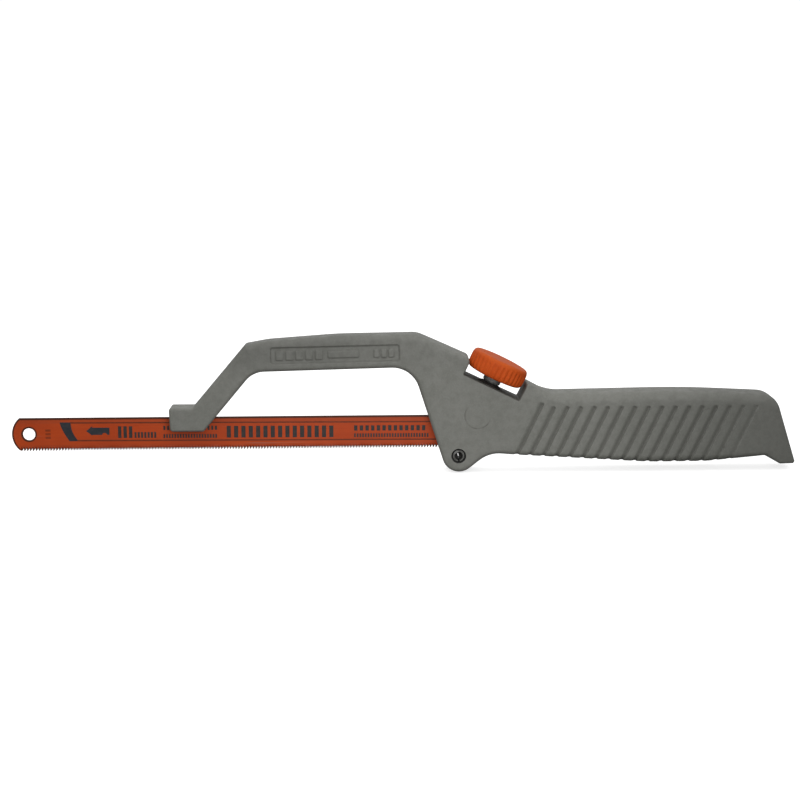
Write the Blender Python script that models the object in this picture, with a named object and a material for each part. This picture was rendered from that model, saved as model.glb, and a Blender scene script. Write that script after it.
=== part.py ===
"""Compact hacksaw: one cast frame, a screw clamp with a ribbed knob, and a 250 mm blade.

Metres, +Z up. +X runs from the front foot to the handle and y = 0 is the plane of the
blade. The origin is at mid length, level with the lowest point of the frame.
"""

import math

import bmesh
import bpy
from mathutils import Matrix, Vector

MM = 0.001

# Cast frame: corners of its side outline, clockwise from the top of the front foot.
# Each is x, z, the fillet radius seen from the side, and the rounding of the cheek edge, in mm.
FRAME_OUTLINE = (
    (-87.0, 24.6, 0.6, 0.7),    # front foot, top
    (-77.9, 24.6, 0.8, 0.9),
    (-58.7, 47.4, 1.6, 1.8),    # top of the front strut
    (-50.5, 48.85, 30.0, 1.9),
    (-25.0, 50.65, 160.0, 1.9),
    (4.2, 51.1, 9.0, 1.9),      # rear end of the arch
    (24.0, 42.2, 2.2, 1.0),     # shoulder above the notch
    (21.16, 36.56, 0.3, 0.4),   # notch floor
    (41.44, 26.84, 0.3, 0.4),
    (44.6, 33.1, 0.6, 0.6),     # start of the handle
    (52.5, 29.25, 18.0, 3.6),
    (92.0, 29.85, 400.0, 3.6),
    (137.6, 28.15, 8.0, 3.2),   # top of the tail
    (145.25, 2.1, 0.9, 0.9),    # tip of the tail hook
    (139.3, 2.1, 1.0, 0.9),
    (133.4, 5.4, 2.0, 1.6),
    (112.0, 3.35, 60.0, 2.8),   # underside of the grip
    (90.0, 3.35, 120.0, 2.8),
    (62.0, 5.1, 150.0, 2.8),
    (30.6, 7.0, 12.0, 1.6),     # neck behind the pin lobe
    (16.4, -3.85, 6.2, 1.2),    # pin lobe
    (2.2, 39.1, 8.0, 1.5),      # rear of the throat
    (-56.1, 37.65, 6.5, 1.5),   # front of the throat
    (-74.45, 15.8, 1.0, 0.9),   # front foot, underside
    (-86.7, 15.85, 1.3, 0.8),
)
# Half thickness of the casting at stations along x, straight in between, in mm.
FRAME_HALF_THICKNESS = (
    (-90.0, 5.2),
    (-2.0, 5.2),
    (12.0, 6.5),
    (30.0, 6.5),
    (44.0, 7.5),
    (90.0, 8.0),
    (128.0, 8.0),
    (150.0, 6.4),
)
PLATE_HALF = 5.0 * MM           # half thickness that the plate has before it is adjusted
OUTLINE_TOLERANCE = 0.04 * MM   # how far a chord may lie from its arc
EDGE_STEPS = 3                  # facets across a rounded cheek edge

GAP = 0.3 * MM                  # running clearance
PRESS_GAP = 0.15 * MM           # clearance left around pieces that are pressed in
JOIN_GAP = 0.05 * MM            # clearance along the weld of the blade

# Blade: 250 mm between holes, 24 teeth per inch.
BLADE_TIP_X = -144.8 * MM
HOLE_SPACING = 250.0 * MM
HOLE_INSET = 6.2 * MM
BLADE_LENGTH = HOLE_SPACING + 2 * HOLE_INSET
BLADE_TOOTH_Z = 8.6 * MM
BLADE_HEIGHT = 12.0 * MM
BLADE_BACK_Z = BLADE_TOOTH_Z + BLADE_HEIGHT
BLADE_THICKNESS = 0.65 * MM
BLADE_END_RADIUS = 8.0 * MM
BLADE_HOLE_RADIUS = 2.25 * MM
TOOTH_PITCH = 25.4 * MM / 24
TOOTH_DEPTH = 0.55 * MM
TOOTH_GULLET_SHARE = 0.97       # where along its pitch a tooth's back meets the gullet
EDGE_STRIP_HEIGHT = 1.7 * MM
EDGE_STRIP_INSET = 5.0 * MM     # from the end of the blade to the first tooth

# Slots and hollows in the frame.
SLOT_HALF_WIDTH = BLADE_THICKNESS / 2 + GAP
HOLLOW_HALF_WIDTH = 3.0 * MM
GRIP_HOLLOW_HALF_WIDTH = 3.6 * MM
GRIP_HOLLOW_TOP = 25.0 * MM
GRIP_HOLLOW_REACH = (47.0 * MM, 131.0 * MM)
LOBE_REAR_X = 23.0 * MM
BELOW_FRAME_Z = -4.0 * MM

# Cross pin: a slotted spring pin under the teeth.
PIN_X = 19.2 * MM
PIN_Z = 6.1 * MM
PIN_RADIUS = 2.2 * MM
PIN_BORE_RADIUS = 1.5 * MM
PIN_HALF_LENGTH = 5.9 * MM
PIN_SPLIT_DEG = 24.0

# Clamp screw: its axis is square to the notch floor and meets it near the middle.
SCREW_FOOT_X = 31.0 * MM
SCREW_FOOT_Z = 31.85 * MM
SCREW_TILT = math.atan2(36.56 - 26.84, 41.44 - 21.16)
SCREW_RADIUS = 2.5 * MM
SCREW_TIP_RADIUS = 1.7 * MM
COLLAR_RADIUS = 3.4 * MM        # plain collar between the thread and the head
HEAD_FLAT_RADIUS = 4.0 * MM     # centre to flat of the hexagon moulded into the knob
TRAVEL = 2.4 * MM               # three turns of an M5 x 0.8 thread

# Heights along the screw axis, from the notch floor.
BUSH_BOTTOM = -6.0 * MM
BUSH_FLANGE_TOP = 0.9 * MM
COLLAR_BOTTOM = BUSH_FLANGE_TOP + GAP
PAD_TOP = BUSH_BOTTOM - TRAVEL - 0.5 * MM
SCREW_SHOULDER = PAD_TOP + GAP
SCREW_TIP = PAD_TOP - 1.2 * MM
PAD_SOCKET_BOTTOM = SCREW_TIP - GAP
PAD_HOLLOW_BOTTOM = -18.0 * MM
KNOB_BOTTOM = 3.35 * MM
HEAD_BOTTOM = 3.65 * MM
HEAD_TOP = 7.4 * MM

BUSH_RADIUS = 4.0 * MM
BUSH_FLANGE_RADIUS = 5.0 * MM

PAD_HALF_LENGTH = 4.0 * MM
PAD_HALF_WIDTH = 2.6 * MM
PAD_GRIP_DEPTH = 1.2 * MM       # how far the pad's slot reaches down the blade

KNOB_RADIUS = 11.0 * MM
KNOB_RIBS = 36
RIB_DEPTH = 0.45 * MM
# Knob side from the bottom up: height over its bottom, radius lost, share of the rib depth.
KNOB_RINGS = (
    (0.0, 1.3, 0.0),
    (0.3, 0.75, 0.5),
    (1.0, 0.3, 1.0),
    (2.0, 0.0, 1.0),
    (4.8, 0.0, 1.0),
    (5.9, 0.15, 0.7),
    (6.6, 0.4, 0.2),
    (7.0, 0.8, 0.0),
    (7.2, 1.5, 0.0),
)

# Grip flutes, the same on both cheeks.
FLUTE_COUNT = 17
FLUTE_FIRST_X = 45.7 * MM       # where the first one crosses FLUTE_LEVEL_Z
FLUTE_LEVEL_Z = 15.8 * MM
FLUTE_PITCH = 5.03 * MM
FLUTE_LEAN = math.radians(25.8)
FLUTE_TOP_Z = 24.6 * MM
FLUTE_BOTTOM_Z = 1.0 * MM
FLUTE_WIDTH = 2.1 * MM
FLUTE_DEPTH = 0.65 * MM

ROUND_STEPS = 28                # facets round a pin, bush or screw


def clear_scene():
    for existing in list(bpy.data.objects):
        bpy.data.objects.remove(existing, do_unlink=True)


def make_material(name, colour, roughness, metallic):
    material = bpy.data.materials.new(name)
    material.use_nodes = True
    shader = material.node_tree.nodes["Principled BSDF"]
    shader.inputs["Base Color"].default_value = (*colour, 1.0)
    shader.inputs["Roughness"].default_value = roughness
    shader.inputs["Metallic"].default_value = metallic
    return material


def add_object(name, mesh_builder, material=None, smooth=False):
    """Links a closed mesh as an object; its faces are turned to point out."""
    bmesh.ops.remove_doubles(mesh_builder, verts=mesh_builder.verts, dist=1e-7)
    bmesh.ops.recalc_face_normals(mesh_builder, faces=mesh_builder.faces)
    mesh = bpy.data.meshes.new(name)
    mesh_builder.to_mesh(mesh)
    mesh_builder.free()
    if smooth:
        mesh.shade_smooth()
        mesh.set_sharp_from_angle(angle=math.radians(35))
    if material is not None:
        mesh.materials.append(material)
    added = bpy.data.objects.new(name, mesh)
    bpy.context.scene.collection.objects.link(added)
    return added


def cut(target, cutter):
    """Takes the cutter away from the target with a Boolean modifier."""
    cutter.hide_render = True
    cutter.display_type = "WIRE"
    modifier = target.modifiers.new(cutter.name, "BOOLEAN")
    modifier.operation = "DIFFERENCE"
    modifier.solver = "EXACT"
    modifier.object = cutter


def prism(loop, offset_start, offset_end):
    """A closed prism between two copies of a flat loop of points."""
    builder = bmesh.new()
    starts = [builder.verts.new(point + offset_start) for point in loop]
    ends = [builder.verts.new(point + offset_end) for point in loop]
    builder.faces.new(starts)
    builder.faces.new(list(reversed(ends)))
    for i in range(len(loop)):
        j = (i + 1) % len(loop)
        builder.faces.new((starts[i], ends[i], ends[j], starts[j]))
    return builder


def side_prism(points_xz, half_width):
    """A prism across y from an outline in the side view."""
    loop = [Vector((x, 0.0, z)) for x, z in points_xz]
    reach = Vector((0.0, half_width, 0.0))
    return prism(loop, -reach, reach)


def box_outline(x_low, x_high, z_low, z_high):
    return [(x_low, z_low), (x_high, z_low), (x_high, z_high), (x_low, z_high)]


def turned(profile, steps=ROUND_STEPS):
    """A solid of revolution about +Z from its (radius, height) profile, top to bottom."""
    builder = bmesh.new()
    rings = []
    for radius, height in profile:
        ring = []
        for i in range(steps):
            angle = 2 * math.pi * i / steps
            ring.append(builder.verts.new((radius * math.cos(angle), radius * math.sin(angle), height)))
        rings.append(ring)
    join_rings(builder, rings)
    builder.faces.new(rings[0])
    builder.faces.new(rings[-1])
    return builder


def join_rings(builder, rings):
    for upper, lower in zip(rings, rings[1:]):
        count = len(upper)
        for i in range(count):
            j = (i + 1) % count
            builder.faces.new((upper[i], upper[j], lower[j], lower[i]))


def screw_frame():
    """An empty on the notch floor whose +Z is the clamp screw's axis."""
    empty = bpy.data.objects.new("screw_axis", None)
    empty.location = (SCREW_FOOT_X, 0.0, SCREW_FOOT_Z)
    empty.rotation_euler = (0.0, SCREW_TILT, 0.0)
    bpy.context.scene.collection.objects.link(empty)
    return empty


def screw_matrix():
    place = Matrix.Translation((SCREW_FOOT_X, 0.0, SCREW_FOOT_Z))
    return place @ Matrix.Rotation(SCREW_TILT, 4, "Y")


def on_screw_plane(across, along):
    """Side view point at a distance across and along the screw axis from the notch floor."""
    point = screw_matrix() @ Vector((across, 0.0, along))
    return point.x, point.z


# Outline with filleted corners -------------------------------------------------------

def corner_directions(corners, i):
    here = Vector(corners[i])
    before = Vector(corners[i - 1])
    after = Vector(corners[(i + 1) % len(corners)])
    return (here - before).normalized(), (after - here).normalized()


def inset_corner(corners, i, distance):
    """Moves a corner of a clockwise outline inwards, square to both of its sides."""
    arriving, leaving = corner_directions(corners, i)
    inward_1 = Vector((arriving.y, -arriving.x))
    inward_2 = Vector((leaving.y, -leaving.x))
    return Vector(corners[i]) + (inward_1 + inward_2) * (distance / (1 + inward_1.dot(inward_2)))


def arc_steps(radius, turn):
    largest = 2 * math.acos(1 - min(OUTLINE_TOLERANCE / radius, 0.03))
    return max(1, math.ceil(turn / largest))


def fillet(corners, i, radius, steps):
    """Points along the arc that rounds corner i."""
    arriving, leaving = corner_directions(corners, i)
    turn = math.acos(max(-1.0, min(1.0, arriving.dot(leaving))))
    side = 1 if arriving.x * leaving.y - arriving.y * leaving.x > 0 else -1
    start = Vector(corners[i]) - arriving * radius * math.tan(turn / 2)
    centre = start + Vector((-arriving.y, arriving.x)) * side * radius
    spoke = start - centre
    points = []
    for step in range(steps + 1):
        angle = side * turn * step / steps
        points.append(centre + Matrix.Rotation(angle, 2) @ spoke)
    return points


def outline_ring(inset_share):
    """The frame outline moved in by a share of each corner's edge rounding.

    Returns its points and, for each, the edge rounding there."""
    corners = [(x * MM, z * MM) for x, z, _, _ in FRAME_OUTLINE]
    moved = [
        inset_corner(corners, i, inset_share * FRAME_OUTLINE[i][3] * MM)
        for i in range(len(corners))
    ]
    points = []
    roundings = []
    for i, (_, _, radius_mm, rounding_mm) in enumerate(FRAME_OUTLINE):
        arriving, leaving = corner_directions(corners, i)
        turn = math.acos(max(-1.0, min(1.0, arriving.dot(leaving))))
        convex = arriving.x * leaving.y - arriving.y * leaving.x < 0
        shift = inset_share * rounding_mm * MM
        radius = max(0.05 * MM, radius_mm * MM + (-shift if convex else shift))
        arc = fillet(moved, i, radius, arc_steps(radius_mm * MM, turn))
        points.extend(arc)
        roundings.extend([rounding_mm * MM] * len(arc))
    return points, roundings


def half_thickness(x):
    stations = [(sx * MM, half * MM) for sx, half in FRAME_HALF_THICKNESS]
    for (x_low, half_low), (x_high, half_high) in zip(stations, stations[1:]):
        if x <= x_high:
            share = max(0.0, (x - x_low) / (x_high - x_low))
            return half_low + share * (half_high - half_low)
    return stations[-1][1]


def frame_plate():
    """The casting without its openings: a plate with rounded edges and a swollen grip."""
    builder = bmesh.new()
    sides = []
    for side in (-1, 1):
        rings = []
        for step in range(EDGE_STEPS + 1):
            angle = math.pi / 2 * step / EDGE_STEPS
            points, roundings = outline_ring(1 - math.cos(angle))
            ring = []
            for point, rounding in zip(points, roundings):
                y = side * (PLATE_HALF - rounding * (1 - math.sin(angle)))
                ring.append(builder.verts.new((point.x, y, point.y)))
            rings.append(ring)
        join_rings(builder, rings)
        builder.faces.new(rings[-1])
        sides.append(rings)
    join_rings(builder, [sides[0][0], sides[1][0]])
    for x_mm, _ in FRAME_HALF_THICKNESS[1:-1]:
        bmesh.ops.bisect_plane(
            builder,
            geom=builder.verts[:] + builder.edges[:] + builder.faces[:],
            dist=1e-7,
            plane_co=(x_mm * MM, 0.0, 0.0),
            plane_no=(1.0, 0.0, 0.0),
        )
    for vert in builder.verts:
        change = half_thickness(vert.co.x) - PLATE_HALF
        vert.co.y += math.copysign(change, vert.co.y)
    return builder


def flute_cutter(x_level, side):
    """A round-topped bar, lying along one flute of the grip."""
    radius = (FLUTE_WIDTH ** 2 / 4 + FLUTE_DEPTH ** 2) / (2 * FLUTE_DEPTH)
    lean = math.tan(FLUTE_LEAN)
    top_x = x_level + (FLUTE_TOP_Z - FLUTE_LEVEL_Z) * lean
    length = (FLUTE_TOP_Z - FLUTE_BOTTOM_Z) / math.cos(FLUTE_LEAN)
    profile = [(radius * 0.3, radius * 0.95), (radius * 0.75, radius * 0.66), (radius, 0.0), (radius, -length)]
    builder = turned(profile, steps=12)
    surface = half_thickness(x_level)
    place = Matrix.Translation((top_x, side * (surface - FLUTE_DEPTH + radius), FLUTE_TOP_Z))
    builder.transform(place @ Matrix.Rotation(FLUTE_LEAN, 4, "Y"))
    return builder


def build_frame_casting(material):
    casting = add_object("frame_casting", frame_plate(), material, smooth=True)
    foot_slot = box_outline(-90 * MM, -66 * MM, 10 * MM, BLADE_BACK_Z + GAP)
    cut(casting, add_object("foot_slot", side_prism(foot_slot, SLOT_HALF_WIDTH)))
    blade_slot = box_outline(-2 * MM, LOBE_REAR_X + MM, BELOW_FRAME_Z, BLADE_BACK_Z + GAP)
    cut(casting, add_object("blade_slot", side_prism(blade_slot, SLOT_HALF_WIDTH)))
    hollow = box_outline(LOBE_REAR_X, GRIP_HOLLOW_REACH[0] + MM, BELOW_FRAME_Z, BLADE_BACK_Z + GAP)
    cut(casting, add_object("body_hollow", side_prism(hollow, HOLLOW_HALF_WIDTH)))
    grip_hollow = box_outline(*GRIP_HOLLOW_REACH, BELOW_FRAME_Z, GRIP_HOLLOW_TOP)
    cut(casting, add_object("grip_hollow", side_prism(grip_hollow, GRIP_HOLLOW_HALF_WIDTH)))
    reach = PAD_HALF_LENGTH + 2 * GAP
    pad_hollow = [
        on_screw_plane(-reach, PAD_HOLLOW_BOTTOM),
        on_screw_plane(reach, PAD_HOLLOW_BOTTOM),
        on_screw_plane(reach, BUSH_BOTTOM),
        on_screw_plane(-reach, BUSH_BOTTOM),
    ]
    cut(casting, add_object("pad_hollow", side_prism(pad_hollow, HOLLOW_HALF_WIDTH - 0.02 * MM)))
    bush_bore = turned([(BUSH_RADIUS + PRESS_GAP, 3 * MM), (BUSH_RADIUS + PRESS_GAP, BUSH_BOTTOM - MM)])
    bush_bore.transform(screw_matrix())
    cut(casting, add_object("bush_bore", bush_bore))
    pin_bore = turned([(PIN_RADIUS + PRESS_GAP, 8 * MM), (PIN_RADIUS + PRESS_GAP, -8 * MM)])
    pin_bore.transform(Matrix.Translation((PIN_X, 0.0, PIN_Z)) @ Matrix.Rotation(math.pi / 2, 4, "X"))
    cut(casting, add_object("pin_bore", pin_bore))
    for i in range(FLUTE_COUNT):
        for side, side_name in ((-1, "front"), (1, "back")):
            bar = flute_cutter(FLUTE_FIRST_X + i * FLUTE_PITCH, side)
            cut(casting, add_object(f"flute_{side_name}_{i}", bar))


def build_blade_back(material):
    """The spring steel body of the blade, with a step along its lower edge for the tooth strip."""
    half = BLADE_HEIGHT / 2
    bulge = BLADE_END_RADIUS - math.sqrt(BLADE_END_RADIUS ** 2 - half ** 2)
    end_angle = math.asin(half / BLADE_END_RADIUS)
    middle_z = BLADE_TOOTH_Z + half
    outline = []
    for x_end, facing in ((BLADE_TIP_X, -1), (BLADE_TIP_X + BLADE_LENGTH, 1)):
        centre_x = x_end - facing * BLADE_END_RADIUS
        for step in range(9):
            angle = facing * end_angle * (1 - step / 4)
            x = centre_x + facing * BLADE_END_RADIUS * math.cos(angle)
            outline.append((x, middle_z + BLADE_END_RADIUS * math.sin(angle)))
        step_x = x_end - facing * (EDGE_STRIP_INSET - JOIN_GAP)
        step_z = BLADE_TOOTH_Z + EDGE_STRIP_HEIGHT + JOIN_GAP
        corner = [(step_x, BLADE_TOOTH_Z), (step_x, step_z)]
        if facing < 0:
            first_step = list(reversed(corner))
        else:
            outline.extend(corner)
    outline.extend(first_step)
    assert bulge < EDGE_STRIP_INSET
    blade = add_object("blade_back", side_prism(outline, BLADE_THICKNESS / 2), material)
    for name, x in (("front_hole", HOLE_INSET), ("rear_hole", BLADE_LENGTH - HOLE_INSET)):
        hole = turned([(BLADE_HOLE_RADIUS, MM), (BLADE_HOLE_RADIUS, -MM)])
        place = Matrix.Translation((BLADE_TIP_X + x, 0.0, middle_z))
        hole.transform(place @ Matrix.Rotation(math.pi / 2, 4, "X"))
        cut(blade, add_object(name, hole))


def build_blade_tooth_edge(material):
    """The high speed steel strip: each tooth cuts towards -X, with an upright front face."""
    start_x = BLADE_TIP_X + EDGE_STRIP_INSET
    room = BLADE_LENGTH - 2 * EDGE_STRIP_INSET
    teeth = int(room / TOOTH_PITCH)
    end_x = start_x + room
    top_z = BLADE_TOOTH_Z + EDGE_STRIP_HEIGHT
    outline = [(end_x, top_z), (start_x, top_z)]
    for tooth in range(teeth):
        x = start_x + tooth * TOOTH_PITCH
        outline.append((x, BLADE_TOOTH_Z))
        outline.append((x + TOOTH_PITCH * TOOTH_GULLET_SHARE, BLADE_TOOTH_Z + TOOTH_DEPTH))
    outline.append((end_x, BLADE_TOOTH_Z + TOOTH_DEPTH))
    add_object("blade_tooth_edge", side_prism(outline, BLADE_THICKNESS / 2), material)


def build_cross_pin(material):
    """A rolled spring pin: a tube with a slit along it, away from the blade."""
    steps = ROUND_STEPS
    slit = math.radians(PIN_SPLIT_DEG)
    start = -math.pi / 2 + slit / 2
    outer = []
    inner = []
    for i in range(steps + 1):
        angle = start + (2 * math.pi - slit) * i / steps
        across = math.cos(angle)
        up = math.sin(angle)
        outer.append((PIN_X + PIN_RADIUS * across, PIN_Z + PIN_RADIUS * up))
        inner.append((PIN_X + PIN_BORE_RADIUS * across, PIN_Z + PIN_BORE_RADIUS * up))
    outline = outer + list(reversed(inner))
    add_object("cross_pin", side_prism(outline, PIN_HALF_LENGTH), material, smooth=True)


def build_threaded_bush(material, axis):
    profile = [
        (BUSH_FLANGE_RADIUS, BUSH_FLANGE_TOP),
        (BUSH_FLANGE_RADIUS, JOIN_GAP),
        (BUSH_RADIUS, JOIN_GAP),
        (BUSH_RADIUS, BUSH_BOTTOM),
    ]
    bush = add_object("threaded_bush", turned(profile), material, smooth=True)
    bush.parent = axis
    bore = turned([(SCREW_RADIUS + GAP, 3 * MM), (SCREW_RADIUS + GAP, BUSH_BOTTOM - MM)])
    bore_object = add_object("bush_thread_bore", bore)
    bore_object.parent = axis
    cut(bush, bore_object)


def build_clamp_pad(material, axis):
    """A shoe that straddles the back of the blade and doesn't turn with the screw."""
    top = [on_screw_plane(PAD_HALF_LENGTH, PAD_TOP), on_screw_plane(-PAD_HALF_LENGTH, PAD_TOP)]
    slope = math.tan(SCREW_TILT)
    bottom_z = BLADE_BACK_Z - PAD_GRIP_DEPTH
    bottom = [(x - (z - bottom_z) * slope, bottom_z) for x, z in reversed(top)]
    builder = side_prism(top + bottom, PAD_HALF_WIDTH)
    builder.transform(screw_matrix().inverted())
    pad = add_object("clamp_pad", builder, material)
    pad.parent = axis
    slot = box_outline(10 * MM, 40 * MM, bottom_z - MM, BLADE_BACK_Z + GAP)
    cut(pad, add_object("pad_slot", side_prism(slot, SLOT_HALF_WIDTH)))
    socket = turned([(SCREW_TIP_RADIUS + GAP, PAD_TOP + MM), (SCREW_TIP_RADIUS + GAP, PAD_SOCKET_BOTTOM)])
    socket_object = add_object("pad_socket", socket)
    socket_object.parent = axis
    cut(pad, socket_object)


def hexagon(flat_radius, grow=0.0):
    corner_radius = (flat_radius + grow) / math.cos(math.pi / 6)
    return [
        Vector((corner_radius * math.cos(math.pi / 3 * i), corner_radius * math.sin(math.pi / 3 * i), 0.0))
        for i in range(6)
    ]


def build_clamp_screw(material, axis):
    profile = [
        (COLLAR_RADIUS, HEAD_BOTTOM + MM),
        (COLLAR_RADIUS, COLLAR_BOTTOM),
        (SCREW_RADIUS, COLLAR_BOTTOM),
        (SCREW_RADIUS, SCREW_SHOULDER),
        (SCREW_TIP_RADIUS, SCREW_SHOULDER),
        (SCREW_TIP_RADIUS, SCREW_TIP),
    ]
    screw = add_object("clamp_screw", turned(profile), material, smooth=True)
    screw.parent = axis
    head = prism(hexagon(HEAD_FLAT_RADIUS), Vector((0, 0, HEAD_BOTTOM)), Vector((0, 0, HEAD_TOP)))
    head_object = add_object("screw_head", head)
    head_object.parent = axis
    head_object.hide_render = True
    head_object.display_type = "WIRE"
    union = screw.modifiers.new("head", "BOOLEAN")
    union.operation = "UNION"
    union.solver = "EXACT"
    union.object = head_object


def build_clamp_knob(material, axis):
    builder = bmesh.new()
    rings = []
    around = 2 * KNOB_RIBS
    for height, lost, rib_share in KNOB_RINGS:
        ring = []
        for i in range(around):
            valley = RIB_DEPTH * rib_share if i % 2 else 0.0
            radius = KNOB_RADIUS - lost * MM - valley
            angle = 2 * math.pi * i / around
            z = KNOB_BOTTOM + height * MM
            ring.append(builder.verts.new((radius * math.cos(angle), radius * math.sin(angle), z)))
        rings.append(ring)
    join_rings(builder, rings)
    builder.faces.new(rings[0])
    builder.faces.new(rings[-1])
    knob = add_object("clamp_knob", builder, material, smooth=True)
    knob.parent = axis
    pocket = prism(
        hexagon(HEAD_FLAT_RADIUS, PRESS_GAP),
        Vector((0, 0, KNOB_BOTTOM - MM)),
        Vector((0, 0, HEAD_TOP + PRESS_GAP)),
    )
    pocket_object = add_object("head_pocket", pocket)
    pocket_object.parent = axis
    cut(knob, pocket_object)


def build():
    clear_scene()
    cast_paint = make_material("cast_paint", (0.16, 0.162, 0.148), 0.6, 0.25)
    blade_paint = make_material("blade_paint", (0.40, 0.062, 0.015), 0.42, 0.0)
    knob_plastic = make_material("knob_plastic", (0.52, 0.085, 0.02), 0.45, 0.0)
    steel = make_material("steel", (0.30, 0.29, 0.27), 0.35, 1.0)
    dark_steel = make_material("dark_steel", (0.06, 0.058, 0.055), 0.4, 1.0)
    axis = screw_frame()
    build_frame_casting(cast_paint)
    build_cross_pin(steel)
    build_threaded_bush(dark_steel, axis)
    build_blade_back(blade_paint)
    build_blade_tooth_edge(blade_paint)
    build_clamp_pad(dark_steel, axis)
    build_clamp_knob(knob_plastic, axis)
    build_clamp_screw(steel, axis)


build()
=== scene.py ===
import math

import bmesh
import bpy
import numpy as np
from mathutils import Matrix, Vector
from mathutils.geometry import delaunay_2d_cdt


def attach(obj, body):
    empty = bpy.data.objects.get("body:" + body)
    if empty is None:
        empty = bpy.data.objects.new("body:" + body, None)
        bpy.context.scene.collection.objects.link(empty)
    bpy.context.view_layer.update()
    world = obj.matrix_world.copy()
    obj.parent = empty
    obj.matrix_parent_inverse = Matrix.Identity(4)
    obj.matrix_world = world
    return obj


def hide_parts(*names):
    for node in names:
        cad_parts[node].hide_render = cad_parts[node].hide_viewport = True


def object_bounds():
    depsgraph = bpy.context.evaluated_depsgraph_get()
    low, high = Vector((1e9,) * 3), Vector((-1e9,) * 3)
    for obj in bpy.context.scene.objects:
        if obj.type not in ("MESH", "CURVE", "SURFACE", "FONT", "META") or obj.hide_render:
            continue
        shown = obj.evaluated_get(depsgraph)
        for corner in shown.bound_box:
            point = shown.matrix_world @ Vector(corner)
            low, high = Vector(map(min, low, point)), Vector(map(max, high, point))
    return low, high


# Looks of the compact hacksaw. Metres, in the frame of the CAD: +X runs from the front foot
# to the handle, y = 0 is the plane of the blade, and +Z points from the teeth to the arch.

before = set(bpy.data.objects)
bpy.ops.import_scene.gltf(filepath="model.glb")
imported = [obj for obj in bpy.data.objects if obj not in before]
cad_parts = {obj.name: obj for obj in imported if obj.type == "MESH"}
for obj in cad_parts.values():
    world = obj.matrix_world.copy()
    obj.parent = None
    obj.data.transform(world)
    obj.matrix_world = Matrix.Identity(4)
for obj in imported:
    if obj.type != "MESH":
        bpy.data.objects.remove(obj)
CAD_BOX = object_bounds()

MM = 0.001

# Cast frame: corners of its side outline, clockwise from the top of the front foot.
# Each is x, z, the fillet radius seen from the side, and the rounding of the cheek edge, in mm.
FRAME_OUTLINE = (
    (-87.0, 24.6, 1.0, 0.8),    # front foot, top
    (-78.2, 24.6, 0.8, 0.9),
    (-58.8, 47.6, 1.6, 1.8),    # top of the front strut
    (-50.5, 49.1, 30.0, 1.9),
    (-25.0, 50.95, 160.0, 1.9),
    (4.0, 51.35, 9.0, 1.9),     # rear end of the arch
    (24.0, 42.2, 2.0, 1.0),     # shoulder above the notch
    (21.16, 36.56, 0.3, 0.4),   # notch floor
    (41.44, 26.84, 0.3, 0.4),
    (44.6, 32.9, 0.6, 0.6),     # start of the handle
    (52.5, 29.25, 18.0, 3.6),
    (104.0, 29.9, 400.0, 3.6),
    (137.6, 28.15, 8.0, 3.2),   # top of the tail
    (145.25, 2.1, 0.9, 0.9),    # tip of the tail hook
    (139.3, 2.1, 1.0, 0.9),
    (133.4, 5.4, 2.0, 1.6),
    (112.0, 3.25, 60.0, 2.8),   # underside of the grip
    (90.0, 3.15, 140.0, 2.8),
    (30.6, 7.0, 12.0, 1.6),     # neck behind the pin lobe
    (16.15, -3.9, 6.2, 1.2),    # pin lobe
    (2.2, 39.1, 10.2, 1.5),     # rear of the throat
    (-56.1, 37.65, 9.0, 1.5),   # front of the throat
    (-74.45, 15.8, 1.0, 0.9),   # front foot, underside
    (-86.7, 15.85, 1.3, 0.8),
)
# Half thickness of the casting at stations along x, eased in between, in mm.
FRAME_HALF_THICKNESS = (
    (-90.0, 5.2),
    (-2.0, 5.2),
    (12.0, 6.5),
    (30.0, 6.5),
    (44.0, 7.5),
    (90.0, 8.0),
    (128.0, 8.0),
    (150.0, 6.4),
)
EDGE_STEPS = 7                  # facets across a rounded cheek edge
OUTLINE_STEP = 1.0 * MM         # spacing of points along the outline
FLUTED_STEP = 0.32 * MM         # the same where the flutes run out
FLUTED_EDGE_X = (40.0 * MM, 137.0 * MM)  # the stretch of the underside where they do
FLUTED_EDGE_Z = 10.0 * MM
ARC_TOLERANCE = 0.006 * MM
CHEEK_BOX = (-90.0 * MM, 146.0 * MM, -4.0 * MM, 52.0 * MM)
CHEEK_STEP = 1.8 * MM           # spacing of points on a plain cheek
CHEEK_MARGIN = 0.22 * MM        # least distance of those points from the rounded edge
PANEL_STEP = 0.24 * MM          # spacing of points on the label panel
PANEL_REACH = 0.8 * MM          # how far these go beyond it

# Grip flutes, the same on both cheeks.
FLUTE_COUNT = 17
FLUTE_FIRST_X = 45.7 * MM       # where the first one crosses FLUTE_LEVEL_Z
FLUTE_LEVEL_Z = 15.8 * MM
FLUTE_PITCH = 5.03 * MM
FLUTE_LEAN = math.radians(25.8)
FLUTE_CAP_Z = 23.7 * MM         # centre of a flute's round top
FIRST_CAP_RISE = 1.4 * MM       # the first flute reaches higher
FLUTE_CAP_LENGTH = 0.9 * MM
FLUTE_SLOPE = 1.5 * MM          # reach of the gentle side, towards the front
FLUTE_WALL = 0.46 * MM          # reach of the steep side
FLUTE_DEPTH = 0.6 * MM
LAST_FADING_FLUTES = 3
# Rows of points along a flute: their places across it, and their reach along it, in mm.
FLUTE_ROWS = (
    -1.9, -1.3, -1.1, -0.9, -0.7, -0.52, -0.36, -0.2, -0.06,
    0.06, 0.16, 0.27, 0.38, 0.48, 0.58, 1.0, 1.6,
)
FLUTE_ROW_REACH = (-15.0, 12.0)
# Painted shade for the notch, which lies in the shadow of the knob.
NOTCH_SHADE = 1.9               # how much darker the notch is than a flute

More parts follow.
